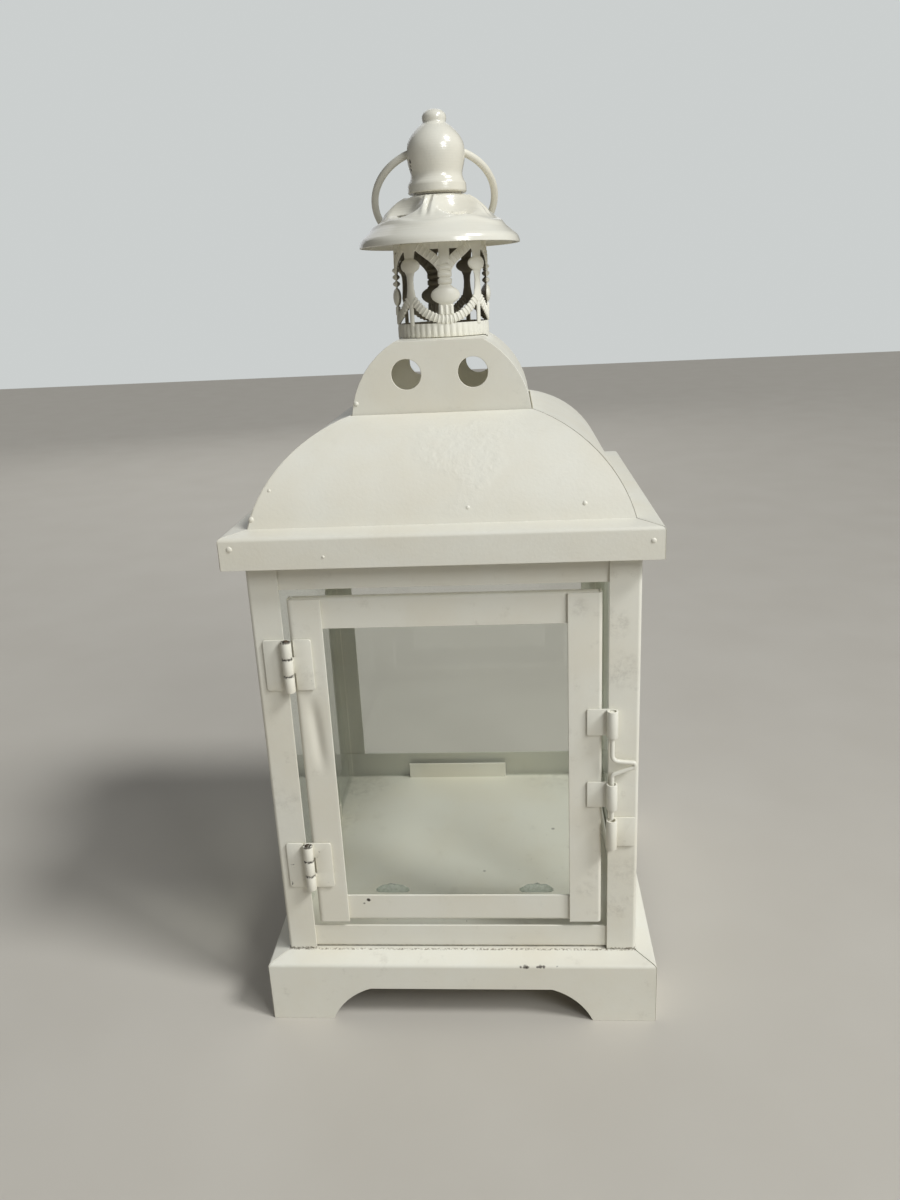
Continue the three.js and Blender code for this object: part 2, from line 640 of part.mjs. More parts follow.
function finialScrew() {
  const headTop = capTop - SHEET - SEAM;
  const head = bar(SCREW_HEAD, 0, 0, headTop - 2, headTop);
  return join(head, bar(SCREW_RADIUS, 0, 0, headTop - 1, finialFoot + SCREW_REACH));
}
place('finial_screw', finialScrew(), bareSteel);

// ---- ring handle: a split ring whose ends meet inside the finial. It lies in
// its own plane here, below the bore, and leans back about the bore's axis.
class RingCurve extends THREE.Curve {
  getPoint(t) {
    const start = Math.PI / 2 + RING_SPLIT / (2 * RING_RADIUS);
    const angle = start + t * (2 * Math.PI - RING_SPLIT / RING_RADIUS);
    return new THREE.Vector3(
      RING_RADIUS * Math.cos(angle),
      RING_RADIUS * Math.sin(angle) - (RING_RADIUS - RING_OFFSET),
      0,
    );
  }
}

// The angle below level at which the ring's wire comes to rest on the cap, one
// seam away from it.
function restingLean() {
  const points = new RingCurve().getPoints(60);
  const spot = new THREE.Vector3();
  const clears = (lean) => points.every((point) => {
    const out = Math.hypot(point.x, point.y * Math.cos(lean));
    const here = new THREE.Vector3(out, boreZ + point.y * Math.sin(lean), 0);
    return capSlope.slice(1).every((end, i) => {
      const line = new THREE.Line3(
        new THREE.Vector3(capSlope[i].x, capSlope[i].y, 0),
        new THREE.Vector3(end.x, end.y, 0),
      );
      return line.closestPointToPoint(here, true, spot).distanceTo(here) > RING_WIRE + SEAM;
    });
  });
  const step = Math.PI / 720;
  let lean = 0;
  while (lean < Math.PI / 2 && clears(lean + step)) lean += step;
  return lean;
}
const ringHandle = place('ring_handle', wire(new RingCurve(), RING_WIRE, 56), creamPaint);
ringHandle.position.set(0, 0, boreZ);
ringHandle.rotation.set(Math.PI - restingLean(), 0, headTurn, 'ZYX');

export default lantern;
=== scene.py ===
# %% [markdown]
# A candle lantern of folded, painted sheet metal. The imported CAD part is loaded
# first and never moves: it says where every piece sits and which body it rides
# on. The cells after it make the finishes, and then the pieces that need more
# detail than the CAD solids have.

# %% Load the frame
import json
import math
from contextlib import contextmanager

import bmesh
import bpy
from mathutils import Matrix, Vector


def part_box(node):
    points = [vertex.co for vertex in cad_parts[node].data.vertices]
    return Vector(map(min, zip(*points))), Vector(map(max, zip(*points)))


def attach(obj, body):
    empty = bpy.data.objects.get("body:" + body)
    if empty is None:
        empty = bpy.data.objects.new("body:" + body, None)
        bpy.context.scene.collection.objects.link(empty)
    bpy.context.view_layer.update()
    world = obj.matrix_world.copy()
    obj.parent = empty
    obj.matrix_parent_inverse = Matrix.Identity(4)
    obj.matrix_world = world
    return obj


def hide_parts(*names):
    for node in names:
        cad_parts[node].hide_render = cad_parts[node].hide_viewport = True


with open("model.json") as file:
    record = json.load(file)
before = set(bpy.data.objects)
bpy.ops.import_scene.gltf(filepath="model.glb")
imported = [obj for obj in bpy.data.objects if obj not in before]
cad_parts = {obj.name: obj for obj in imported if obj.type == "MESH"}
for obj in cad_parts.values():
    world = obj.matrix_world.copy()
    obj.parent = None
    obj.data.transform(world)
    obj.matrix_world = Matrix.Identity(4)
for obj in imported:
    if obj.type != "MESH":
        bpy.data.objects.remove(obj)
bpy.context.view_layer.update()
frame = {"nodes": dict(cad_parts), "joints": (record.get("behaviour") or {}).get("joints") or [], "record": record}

MM = 0.001
nodes = frame["nodes"]
groups = frame["record"]["behaviour"]["bodies"]
body_of = {node: body for body, members in groups.items() for node in members}
print("bodies:", sorted(groups), "nodes:", len(nodes))

# %% [markdown]
# The camera stands a little above the roof and looks down on the door. A camera
# can be turned by hand, but three axes say it without a doubt: where it looks,
# what is to its right and what is up, with a small roll.

# %% Camera
EYE = Vector((24.79, -354.29, 260.23)) * MM
YAW, PITCH, ROLL = (math.radians(angle) for angle in (-4.406, 18.291, -2.782))


def camera_turn(yaw, pitch, roll):
    """The turn of a camera that looks along yaw, down by pitch, and rolls."""
    ahead = Vector((
        math.sin(yaw) * math.cos(pitch),
        math.cos(yaw) * math.cos(pitch),
        -math.sin(pitch),
    ))
    level = Vector((math.cos(yaw), -math.sin(yaw), 0))
    over = level.cross(ahead)
    right = level * math.cos(roll) + over * math.sin(roll)
    up = over * math.cos(roll) - level * math.sin(roll)
    return Matrix((right, up, -ahead)).transposed().to_4x4()


camera_data = bpy.data.cameras.new("camera")
camera_data.lens = 27.9
camera_data.sensor_width = 36
camera_data.clip_start = 0.01
camera = bpy.data.objects.new("camera", camera_data)
bpy.context.scene.collection.objects.link(camera)
camera.matrix_world = Matrix.Translation(EYE) @ camera_turn(YAW, PITCH, ROLL)
bpy.context.scene.camera = camera
print("camera at", [round(c, 3) for c in EYE])

# %% [markdown]
# Every shader below is a sum of small patterns. Node trees can be wired by hand,
# link by link, but sums are easier to read as sums. So one class stands for a
# socket: an operator on it adds the Math node, and node() adds anything else.


# %% Sockets that can be added and multiplied
class Shade:
    """A socket of a material's node tree, or the bare tree to start from."""

    def __init__(self, tree, socket=None):
        self.tree = tree
        self.socket = socket

    def node(self, kind, settings=None, inputs=None, output=0):
        """Adds one node: its settings first, then a value or link per socket."""
        made = self.tree.nodes.new("ShaderNode" + kind)
        for name, value in (settings or {}).items():
            setattr(made, name, value)
        for name, value in (inputs or {}).items():
            if isinstance(value, Shade):
                self.tree.links.new(value.socket, made.inputs[name])
            else:
                made.inputs[name].default_value = value
        return Shade(self.tree, made.outputs[output] if made.outputs else None)

    def maths(self, operation, first, second):
        return self.node("Math", {"operation": operation}, {0: first, 1: second})

    def __add__(self, other):
        return self.maths("ADD", self, other)

    __radd__ = __add__

    def __sub__(self, other):
        return self.maths("SUBTRACT", self, other)

    def __rsub__(self, other):
        return self.maths("SUBTRACT", other, self)

    def __mul__(self, other):
        return self.maths("MULTIPLY", self, other)

    __rmul__ = __mul__

    def __pow__(self, power):
        return self.maths("POWER", self, power)

    def __abs__(self):
        return self.maths("ABSOLUTE", self, 0)

    def __lt__(self, limit):
        return self.maths("LESS_THAN", self, limit)

    def part(self, axis):
        """One part of a place or a direction: X, Y or Z."""
        return self.node("SeparateXYZ", inputs={0: self}, output=axis)

    def rise(self, low, high):
        """0 below low, 1 above high, and a smooth climb between."""
        return self.node(
            "MapRange",
            {"interpolation_type": "SMOOTHSTEP"},
            {"Value": self, "From Min": low, "From Max": high},
        )

    def between(self, low, high):
        """The colour that lies this share of the way from low to high."""
        return self.node("Mix", {"data_type": "RGBA"}, {0: self, 6: low, 7: high}, 2)


def start_material(name):
    """An empty material, its tree, and the place on the piece in millimetres."""
    material = bpy.data.materials.new(name)
    material.use_nodes = True
    material.node_tree.nodes.clear()
    tree = Shade(material.node_tree)
    place = tree.node("TexCoord", output="Object")
    in_mm = tree.node("VectorMath", {"operation": "SCALE"}, {0: place, "Scale": 1 / MM})
    return material, tree, in_mm


def noise(tree, place, period, detail=2.0, roughness=0.5, output=0):
    """Soft random clouds, period millimetres from one to the next."""
    sockets = {"Vector": place, "Scale": 1 / period, "Detail": detail, "Roughness": roughness}
    return tree.node("TexNoise", {"noise_dimensions": "3D"}, sockets, output)


def specks(tree, place, spacing, radius, share):
    """1 on small round spots: one to a cell, and only in a share of the cells."""
    sockets = {"Vector": place, "Scale": 1 / spacing}
    cell = {"voronoi_dimensions": "3D", "feature": "F1"}
    near = tree.node("TexVoronoi", cell, sockets, "Distance") < radius / spacing
    chosen = tree.node("TexVoronoi", cell, sockets, "Color") < share
    return near * chosen


def colour(red, green, blue):
    """A colour as a painter names it, 0 to 255, in the light that shaders use."""
    def linear(value):
        value = value / 255
        return value / 12.92 if value <= 0.04045 else ((value + 0.055) / 1.055) ** 2.4
    return (linear(red), linear(green), linear(blue), 1.0)


def paint_with(tree, sockets):
    """A Principled surface with those sockets, as the material's output."""
    surface = tree.node("BsdfPrincipled", inputs=sockets)
    tree.node("OutputMaterial", inputs={"Surface": surface})


def dress(piece, finish):
    """Gives a piece one material in place of any that it has."""
    piece.data.materials.clear()
    piece.data.materials.append(finish)


# %% [markdown]
# The lantern is dipped or sprayed with a warm white enamel. It is never one
# colour: the coat is thicker in places, the skin has the fine dimples of orange
# peel, dust is caught in it, and grime gathers where the posts stand on the
# plinth. One recipe makes all of it, and each finish asks for its own shares.

# %% Cream enamel
CREAM = colour(233, 231, 219)
CREAM_WARM = colour(228, 222, 204)
GRIME = colour(96, 80, 55)
CHIP = colour(52, 42, 33)
SCUFF = colour(150, 141, 122)
# Painted shade: the drum's inside is the same cream enamel, drawn in this darker colour because little light
# reaches it.
INSIDE_SHADE = colour(126, 119, 102)
HINGE_FACE = -65.9     # front of the hinge leaves: only the barrels stand before it


def blot(tree, in_mm, spot, radius, ragged):
    """1 at a spot and 0 beyond the radius, with an uneven edge."""
    away = tree.node("VectorMath", {"operation": "DISTANCE"}, {0: in_mm, 1: spot}, "Value")
    return 1 - (away + (ragged - 0.5) * radius * 1.5).rise(radius * 0.45, radius)


def enamel(name, roughness, peel, coat=0.0, chips=0.0, scuffs=0.0, dusty=0.08, shaded_inside=False,
           rings=False, grime_line=None, grime_wall=None, worn_at=(), marks=(), pitted=None):
    """Cream enamel. peel is the depth of its dimples, chips the share of the coat
    that is gone, scuffs the strength of its grey rubs, shaded_inside a painted
    shade that darkens the inside of a drum about the Z axis, and rings the fine
    marks of a turned piece. Grime lies along a height (grime_line) or against a
    wall at that distance from the middle (grime_wall), the coat is worn at some
    heights, marks are (place, radius, strength), and pitted is the place and
    radius of a mottled patch."""
    material, tree, in_mm = start_material(name)
    clouds = noise(tree, in_mm, 34, 3.0).rise(0.36, 0.7)
    blotches = noise(tree, in_mm, 3.2, 4.0, 0.6)
    ragged = noise(tree, in_mm, 0.9, 5.0, 0.7)
    tone = (clouds * 0.5 + blotches * 0.35).between(CREAM, CREAM_WARM)
    dust = specks(tree, in_mm, 5.5 - 4 * dusty, 0.15 + 0.12 * dusty, dusty)
    tone = (dust * 0.75).between(tone, GRIME)
    rough = roughness + 0.16 * blotches
    if scuffs:
        rubbed = noise(tree, in_mm, 8, 6.0, 0.72).rise(0.56, 0.74) * scuffs
        tone = rubbed.between(tone, SCUFF)
        rough = rough + 0.3 * rubbed
    if grime_line is not None:
        near = 1 - abs(in_mm.part("Z") - grime_line).rise(0.1, 0.75)
        tone = (near * ragged.rise(0.44, 0.58) * 0.85).between(tone, GRIME)
    if grime_wall is not None:
        sides = tree.node("VectorMath", {"operation": "ABSOLUTE"}, {0: in_mm})
        out = abs(tree.maths("MAXIMUM", sides.part("X"), sides.part("Y")) - grime_wall)
        tone = ((1 - out.rise(0.1, 0.8)) * ragged.rise(0.46, 0.6) * 0.85).between(tone, GRIME)
    for worn in worn_at:
        near = 1 - abs(in_mm.part("Z") - worn).rise(0.15, 0.85)
        barrel = 1 - in_mm.part("Y").rise(HINGE_FACE - 0.6, HINGE_FACE)
        tone = (near * barrel * ragged.rise(0.4, 0.54) * 0.9).between(tone, CHIP)
    for spot, radius, strength in marks:
        mark = blot(tree, in_mm, spot, radius, ragged) * strength
        if radius > 1.5:
            mark = mark * noise(tree, in_mm, 3.6, 7.0, 0.8).rise(0.4, 0.8)
        tone = mark.between(tone, CHIP if radius < 1.5 else GRIME)
    if chips:
        flakes = noise(tree, in_mm, 2.6, 6.0, 0.62).rise(0.72 - chips, 0.735 - chips)
        tone = flakes.between(tone, CHIP)
        rough = rough + 0.2 * flakes
    # Painted shade: faces that look in towards the Z axis get the darker colour, standing in for the shade inside
    # the drum.
    if shaded_inside:
        out = tree.node("VectorMath", {"operation": "MULTIPLY"}, {0: in_mm, 1: (1, 1, 0)})
        normal = tree.node("TexCoord", output="Normal")
        facing = tree.node("VectorMath", {"operation": "DOT_PRODUCT"}, {0: out, 1: normal}, "Value")
        inside = 1 - facing.rise(-5.0, 0.5)
        tone = inside.between(tone, INSIDE_SHADE)
    skin = noise(tree, in_mm, 1.1, 2.0) * peel + noise(tree, in_mm, 17, 1.0) * 0.22
    if rings:
        skin = skin + 0.006 * tree.maths("SINE", in_mm.part("Z") * 7.5, 0)
    if chips:
        skin = skin - 0.05 * flakes
    if pitted:
        patch = blot(tree, in_mm, *pitted, clouds)
        skin = skin + noise(tree, in_mm, 2.3, 2.0, 0.6) * patch * 0.2
    bump = tree.node("Bump", inputs={"Height": skin, "Distance": MM, "Strength": 1.0})
    paint_with(tree, {
        "Base Color": tone,
        "Roughness": rough,
        "Normal": bump,
        "IOR": 1.5,
        "Coat Weight": coat,
        "Coat Roughness": 0.12,
    })
    return material


hinge_joints = []
for hinge in ("hinge_upper_post_leaf", "hinge_lower_post_leaf"):
    low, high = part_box(hinge)
    hinge_joints += [(low.z + share * (high.z - low.z)) / MM for share in (1 / 3, 2 / 3, 1.0)]
FINIAL_MARKS = [((-8.6, -5.0, 303.4), 0.95, 1.0), ((-8.7, -4.6, 302.0), 0.75, 1.0),
                ((-8.8, -4.2, 300.9), 0.85, 1.0), ((-9.6, -2.4, 309.6), 1.3, 0.95),
                ((3.6, -9.6, 298.0), 0.7, 0.7)]
POST_MARKS = [((58.4, -65, 138), 9.0, 0.4), ((56.6, -65, 155), 7.0, 0.4),
              ((60.5, -65, 60), 9.0, 0.3), ((-58.5, -65, 142), 1.1, 0.4),
              ((57.4, -65, 45), 7.0, 0.35), ((-61, -65, 90), 8.0, 0.25)]
PLINTH_MARKS = [((x, -72, z), r, 0.85) for x, z, r in
                ((22.4, 23.9, 0.7), (24.1, 24.0, 1.1), (24.9, 23.8, 0.8), (28.6, 24.0, 0.7),
                 (29.7, 24.1, 1.0), (30.9, 24.0, 0.8), (35.8, 24.2, 0.6))]
DOOR_MARKS = [((-33.3, -64, 47.2), 0.95, 1.0), ((-35.0, -64, 45.8), 0.5, 0.7),
              ((44.6, -65, 160.5), 4.5, 0.4), ((47, -65, 52), 5.0, 0.3)]
FLOOR_MARKS = [((-56, 54, 29.3), 22, 0.35), ((-60, 20, 29.3), 14, 0.25), ((40, 58, 29.3), 18, 0.25),
               ((-56, -8, 29.3), 1.2, 0.5), ((38, 12, 29.3), 1.0, 0.5), ((8, -20, 29.3), 0.8, 0.5)]
cream_enamel = enamel("cream_enamel", 0.34, 0.02, scuffs=0.16, grime_line=26.7)
door_enamel = enamel("door_enamel", 0.34, 0.02, scuffs=0.2, marks=DOOR_MARKS)
floor_enamel = enamel("floor_enamel", 0.42, 0.02, scuffs=0.12, dusty=0.55, marks=FLOOR_MARKS)
roof_enamel = enamel("roof_enamel", 0.34, 0.045, scuffs=0.06, pitted=((6, -52, 209), 17))
plinth_enamel = enamel("plinth_enamel", 0.38, 0.02, scuffs=0.2, grime_wall=64.9,
                       marks=PLINTH_MARKS)
post_enamel = enamel("post_enamel", 0.36, 0.02, scuffs=0.24, grime_line=26.8, marks=POST_MARKS)
chipped_enamel = enamel("chipped_enamel", 0.32, 0.01, chips=0.03, scuffs=0.2,
                        worn_at=hinge_joints)
wire_enamel = enamel("wire_enamel", 0.32, 0.01, chips=0.02, marks=[((57.4, -67.8, 106.7), 0.8, 0.9)])
gloss_enamel = enamel("gloss_enamel", 0.14, 0.006, coat=0.5, rings=True, marks=FINIAL_MARKS)
# The drum's enamel has a painted shade on its inside.
drum_enamel = enamel("drum_enamel", 0.3, 0.01, scuffs=0.1, shaded_inside=True)
finishes = [material.name for material in bpy.data.materials if "enamel" in material.name]
print("enamels:", finishes)

# %% [markdown]
# Window glass 2 mm thick lets almost everything through with a touch of green,
# and mirrors more the flatter it is looked at. A refracting shader would do, but
# its light hardly reaches the inside of a small box. A clear shader and a glossy
# one, mixed by that angle, keep the inside bright. Schlick's rule gives the
# share: 4% straight on, and all of it edge on.

# %% Pane glass
def pane_material():
    material, tree, in_mm = start_material("pane_glass")
    facing = tree.node("LayerWeight", inputs={"Blend": 0.5}, output="Facing")
    mirror = 0.04 + 0.96 * facing ** 5.0
    clear = tree.node("BsdfTransparent", inputs={"Color": (0.955, 0.96, 0.945, 1)})
    smears = noise(tree, in_mm, 9, 3.0).rise(0.5, 0.75)
    gloss = tree.node("BsdfGlossy", inputs={
        "Color": (0.97, 1.0, 0.985, 1),
        "Roughness": 0.02 + 0.08 * smears,
    })
    pane = tree.node("MixShader", inputs={0: mirror, 1: clear, 2: gloss})
    tree.node("OutputMaterial", inputs={"Surface": pane})
    return material


pane_glass = pane_material()
panes = [node for node in nodes if "glass" in node]
for node in panes:
    dress(nodes[node], pane_glass)
print("panes:", panes)

# %% [markdown]
# The hinge pins and the screw under the finial are bare steel wire and bar. Old
# steel is grey with brown patches that are rougher than the metal between them.


# %% Bare steel
def steel_material():
    material, tree, in_mm = start_material("bare_steel")
    rust = noise(tree, in_mm, 2.4, 5.0, 0.65).rise(0.45, 0.62)
    scratches = noise(tree, in_mm, 0.5, 2.0)
    bump = tree.node("Bump", inputs={"Height": scratches, "Distance": 0.02 * MM})
    paint_with(tree, {
        "Base Color": rust.between(colour(122, 117, 108), colour(78, 58, 42)),
        "Metallic": 1 - 0.8 * rust,
        "Roughness": 0.38 + 0.35 * rust,
        "Normal": bump,
    })
    return material


bare_steel = steel_material()
dress(nodes["finial_screw"], bare_steel)
print("steel:", bare_steel.name)

# %% [markdown]
# Now the tools of the bench. Blender's operators act on whatever is selected, so
# each job begins with nothing selected but its own piece. Editing is a block that
# enters edit mode and leaves it again, and pick() selects by place.


# %% Bench tools
def alone(piece):
    bpy.ops.object.select_all(action="DESELECT")
    piece.select_set(True)
    bpy.context.view_layer.objects.active = piece


@contextmanager
def editing(piece, whole=False):
    """Edit mode on one piece, with the whole of it selected if asked."""
    alone(piece)
    bpy.ops.object.mode_set(mode="EDIT")
    bpy.context.tool_settings.mesh_select_mode = (True, True, True)
    if whole:
        bpy.ops.mesh.select_all(action="SELECT")
    yield
    bpy.ops.object.mode_set(mode="OBJECT")


def centre(part):
    """The middle of a bmesh edge or face, in millimetres."""
    return sum((vert.co for vert in part.verts), Vector()) / len(part.verts) / MM


def pick(piece, kind, wanted):
    """Selects the edges or faces that wanted() says yes to."""
    mesh = bmesh.from_edit_mesh(piece.data)
    for every in (mesh.faces, mesh.edges, mesh.verts):
        for part in every:
            part.select_set(False)
    for part in getattr(mesh, kind):
        if wanted(part):
            part.select_set(True)
    bmesh.update_edit_mesh(piece.data)


def added(name):
    """The primitive that was just added, under its own name."""
    piece = bpy.context.active_object
    piece.name = name
    piece.data.name = name
    return piece


def seat(piece):
    """Puts a piece's place into its mesh, so that its object is at the origin."""
    alone(piece)
    bpy.ops.object.transform_apply(location=True, rotation=True, scale=True)
    return piece


def modify(piece, kind, **settings):
    """Adds a modifier and applies it at once."""
    alone(piece)
    modifier = piece.modifiers.new(kind.lower(), kind)
    for name, value in settings.items():
        setattr(modifier, name, value)
    bpy.ops.object.modifier_apply(modifier=modifier.name)
    return piece


def soften(piece, width, limit=50, segments=2, smooth=40, sheet=False):
    """Rounds the edges sharper than limit and shades the rest smooth. A sheet's
    big faces then keep their own normals, so that they shade flat."""
    if width:
        modify(piece, "BEVEL", width=width * MM, segments=segments, limit_method="ANGLE",
               angle_limit=math.radians(limit), miter_outer="MITER_ARC")
    alone(piece)
    bpy.ops.object.shade_smooth_by_angle(angle=math.radians(smooth))
    if sheet:
        modify(piece, "WEIGHTED_NORMAL", keep_sharp=True, weight=80)
    return piece


def duplicate(piece, name, shift=(0, 0, 0)):
    """A copy with its own mesh, moved by shift millimetres."""
    copy = bpy.data.objects.new(name, piece.data.copy())
    bpy.context.scene.collection.objects.link(copy)
    copy.data.transform(Matrix.Translation(Vector(shift) * MM))
    return copy


def join_up(pieces, name):
    """Several pieces as one mesh."""
    bpy.ops.object.select_all(action="DESELECT")
    for piece in pieces:
        piece.select_set(True)
    bpy.context.view_layer.objects.active = pieces[0]
    bpy.ops.object.join()
    pieces[0].name = name
    return pieces[0]


def fit(piece, body, slot, finish, *replaced):
    """Gives a piece its finish and its body, and hides the nodes it stands for.
    slot is not used.
    """
    dress(piece, finish)
    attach(piece, body)
    if replaced:
        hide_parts(*replaced)
    print(f"{piece.name}: {len(piece.data.polygons)} faces on {body}")
    return piece


def corners(node):
    """A CAD node's lowest and highest corners, in millimetres."""
    low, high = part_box(node)
    return low / MM, high / MM


# %% [markdown]
# Most of the lantern is sheet metal, folded in a brake. The CAD part has the true
# thickness and the bend radius, but its cut edges are knife sharp, and a real
# edge holds a thin line of light because paint rounds it. So each folded piece is
# copied, its loose triangles are merged back into flat faces, and a small bevel
# goes round every cut edge. A bevel shader could fake it, but not in the mesh.

# %% Folded sheet
EDGE = 0.24            # width of the rounded edge


def folded_copy(node):
    """A CAD node's mesh as flat faces, ready to be worked on."""
    piece = bpy.data.objects.new(node + "_sheet", nodes[node].data.copy())
    bpy.context.scene.collection.objects.link(piece)
    with editing(piece):
        bpy.ops.mesh.customdata_custom_splitnormals_clear()
        bpy.ops.mesh.select_all(action="SELECT")
        bpy.ops.mesh.remove_doubles(threshold=0.002 * MM)
        bpy.ops.mesh.dissolve_limited(angle_limit=math.radians(0.5))
    return piece


def sheet_finish(node):
    if node.startswith("plinth"):
        return plinth_enamel
    if node.startswith("post"):
        return post_enamel
    if node.startswith("door"):
        return door_enamel
    if node.startswith("floor"):
        return floor_enamel
    return roof_enamel if node.startswith("roof") else cream_enamel


SHEET_WORDS = ("plinth", "post_front", "post_back", "rail", "roof", "dome", "floor", "stile")
sheets = {}
for node in sorted(nodes):
    if any(word in node for word in SHEET_WORDS):
        sheets[node] = soften(folded_copy(node), EDGE, sheet=True)
print("folded sheets:", len(sheets))

# %% [markdown]
# A thing that has been used isn't true any more. The stile on the hinge side has a
# long dent under its upper hinge. Sculpting needs a dense mesh, so only the dented
# stretch is cut up, plane by plane, and its points are then pushed in.

# %% Dented stile
DENT = {"x": -46.3, "z": 116.0, "wide": 2.0, "long": 12.0, "deep": 0.95}
dented = sheets["door_hinge_stile"]
with editing(dented):
    for axis, first, last, step in ((0, -51, -42, 0.75), (2, 98, 134, 2.0)):
        for k in range(int((last - first) / step) + 1):
            place, normal = [0, 0, 0], [0, 0, 0]
            place[axis] = (first + k * step) * MM
            normal[axis] = 1
            bpy.ops.mesh.select_all(action="SELECT")
            bpy.ops.mesh.bisect(plane_co=place, plane_no=normal)
front = min(vert.co.y for vert in dented.data.vertices) + 1.0 * MM
for vert in dented.data.vertices:
    if vert.co.y < front:
        across = vert.co.x / MM - DENT["x"] - 0.06 * (DENT["z"] - vert.co.z / MM)
        along = (vert.co.z / MM - DENT["z"]) / DENT["long"]
        vert.co.y += DENT["deep"] * MM * math.exp(-((across / DENT["wide"]) ** 2) - along ** 4)
soften(dented, 0, sheet=True)
print("dented stile:", len(dented.data.polygons), "faces")

# %% [markdown]
# A butt hinge and the latch's guides are the same thing: a strip whose edge is
# rolled into a tube. So one function does as the tool does. It lays down the flat
# leaf, carries the chosen thirds of its edge on to the barrel, and then spins them
# round the pin. Tubes from cylinders would look alike from afar, but they lack
# the seam where the roll closes.

# %% Rolled leaf
LEAF_THICK = 0.6
ROLL_TURN = math.radians(318)      # how far the edge goes round the pin


def rolled_leaf(name, low, high, axis, side, radius, bands, corner=0.9):
    """low and high bound the leaf and its barrel. axis is the pin's (x, y), side is
    -1 where the leaf lies to the left of it, and bands are the heights of the edge
    that are rolled."""
    clear = 0.3
    near = axis[0] + side * (radius + clear)
    far = low.x if side < 0 else high.x
    back = axis[1] + radius
    front = back - LEAF_THICK
    middle = Vector(((near + far) / 2, (front + back) / 2, (low.z + high.z) / 2))
    size = Vector((abs(far - near), LEAF_THICK, high.z - low.z))
    bpy.ops.object.select_all(action="DESELECT")
    bpy.ops.mesh.primitive_cube_add(size=1, location=middle * MM, scale=size * MM)
    leaf = seat(added(name))
    with editing(leaf):
        for edge in sorted({level for band in bands for level in band}):
            if low.z + 0.01 < edge < high.z - 0.01:
                bpy.ops.mesh.select_all(action="SELECT")
                bpy.ops.mesh.bisect(plane_co=(0, 0, edge * MM), plane_no=(0, 0, 1))
        for foot, top in bands:
            pick(leaf, "faces", lambda face: abs(centre(face).x - near) < 0.01
                 and foot < centre(face).z < top)
            reach = (-side * (radius + clear) * MM, 0, 0)
            bpy.ops.mesh.extrude_region_move(TRANSFORM_OT_translate={"value": reach})
            bpy.ops.mesh.spin(steps=18, angle=-side * ROLL_TURN,
                              center=(axis[0] * MM, axis[1] * MM, 0), axis=(0, 0, 1))
        pick(leaf, "edges", lambda edge: abs(centre(edge).x - far) < 0.01
             and abs(centre(edge).y - (front + back) / 2) < 0.01
             and min(abs(centre(edge).z - low.z), abs(centre(edge).z - high.z)) < 0.01)
        bpy.ops.mesh.bevel(offset=corner * MM, segments=4)
        bpy.ops.mesh.select_all(action="SELECT")
        bpy.ops.mesh.remove_doubles(threshold=0.002 * MM)
        bpy.ops.mesh.normals_make_consistent(inside=False)
    return soften(leaf, 0.13, limit=42)


print("rolled leaf ready")

# %% [markdown]
# The two hinges are one make, but the lower one was put on upside down. The upper
# hinge has two knuckles on the post's leaf, and the lower one has one. Which
# thirds are rolled is all that differs, so a table says it.

# %% Butt hinges
KNUCKLE_PLAY = 0.3
HINGES = {"hinge_upper": ((0, 2), (1,)), "hinge_lower": ((1,), (0, 2))}


def thirds(low, high, chosen):
    """The heights of the chosen thirds of a barrel, with the play between them."""
    step = (high.z - low.z) / 3
    return [
        (low.z + k * step + (KNUCKLE_PLAY / 2 if k else 0),
         low.z + (k + 1) * step - (KNUCKLE_PLAY / 2 if k < 2 else 0))
        for k in chosen
    ]


for hinge, (post_thirds, door_thirds) in HINGES.items():
    pin_low, pin_high = corners(hinge + "_pin")
    axis = ((pin_low.x + pin_high.x) / 2, (pin_low.y + pin_high.y) / 2)
    for leaf_name, side, chosen in (("_post_leaf", -1, post_thirds), ("_door_leaf", 1, door_thirds)):
        node = hinge + leaf_name
        low, high = corners(node)
        radius = high.y - axis[1]
        leaf = rolled_leaf(node + "_rolled", low, high, axis, side, radius, thirds(low, high, chosen))
        fit(leaf, body_of[node], "cream_paint", chipped_enamel, node)

# %% [markdown]
# Many turned things follow: pins, the finial, knobs. Each is a stack of rings. A
# disc is added, and its face is extruded upwards and resized, over and over,
# which is how one would pull it up by hand. The rings may be ovals, so that the
# same tool makes the flat balusters of the chimney.


# %% Stacked rings
def stack(name, rings, sides, spot=(0, 0)):
    """A closed piece through rings of (height, half width, half depth)."""
    first = rings[0]
    bpy.ops.object.select_all(action="DESELECT")
    bpy.ops.mesh.primitive_circle_add(vertices=sides, radius=MM, fill_type="NGON",
                                      location=Vector((*spot, first[0])) * MM)
    piece = seat(added(name))
    with editing(piece, whole=True):
        middle = Vector((*spot, first[0])) * MM
        bpy.ops.transform.resize(value=(first[1], first[2], 1), center_override=middle)
        for below, here in zip(rings, rings[1:]):
            step = (0, 0, (here[0] - below[0]) * MM)
            bpy.ops.mesh.extrude_region_move(TRANSFORM_OT_translate={"value": step})
            middle = Vector((*spot, here[0])) * MM
            growth = (here[1] / below[1], here[2] / below[2], 1)
            bpy.ops.transform.resize(value=growth, center_override=middle)
    return piece


for hinge in HINGES:
    node = hinge + "_pin"
    low, high = corners(node)
    spot = ((low.x + high.x) / 2, (low.y + high.y) / 2)
    thick = (high.x - low.x) / 2
    ends = [(low.z, 0.5 * thick), (low.z + 0.12, 0.85 * thick), (low.z + 0.3, thick),
            (high.z - 0.3, thick), (high.z - 0.12, 0.85 * thick), (high.z, 0.5 * thick)]
    pin = stack(node + "_round", [(z, r, r) for z, r in ends], 24, spot)
    fit(soften(pin, 0), body_of[node], "bare_steel", bare_steel, node)

# %% [markdown]
# The panels are spot-welded, and the paint has runs and grit under it, so that a
# few small beads stand on the roof and the dome. Each is a small stack of rings,
# turned to stand on the sheet it sits on, and joined to it. The door's pane is
# held by two dabs of clear silicone behind its bottom rail.

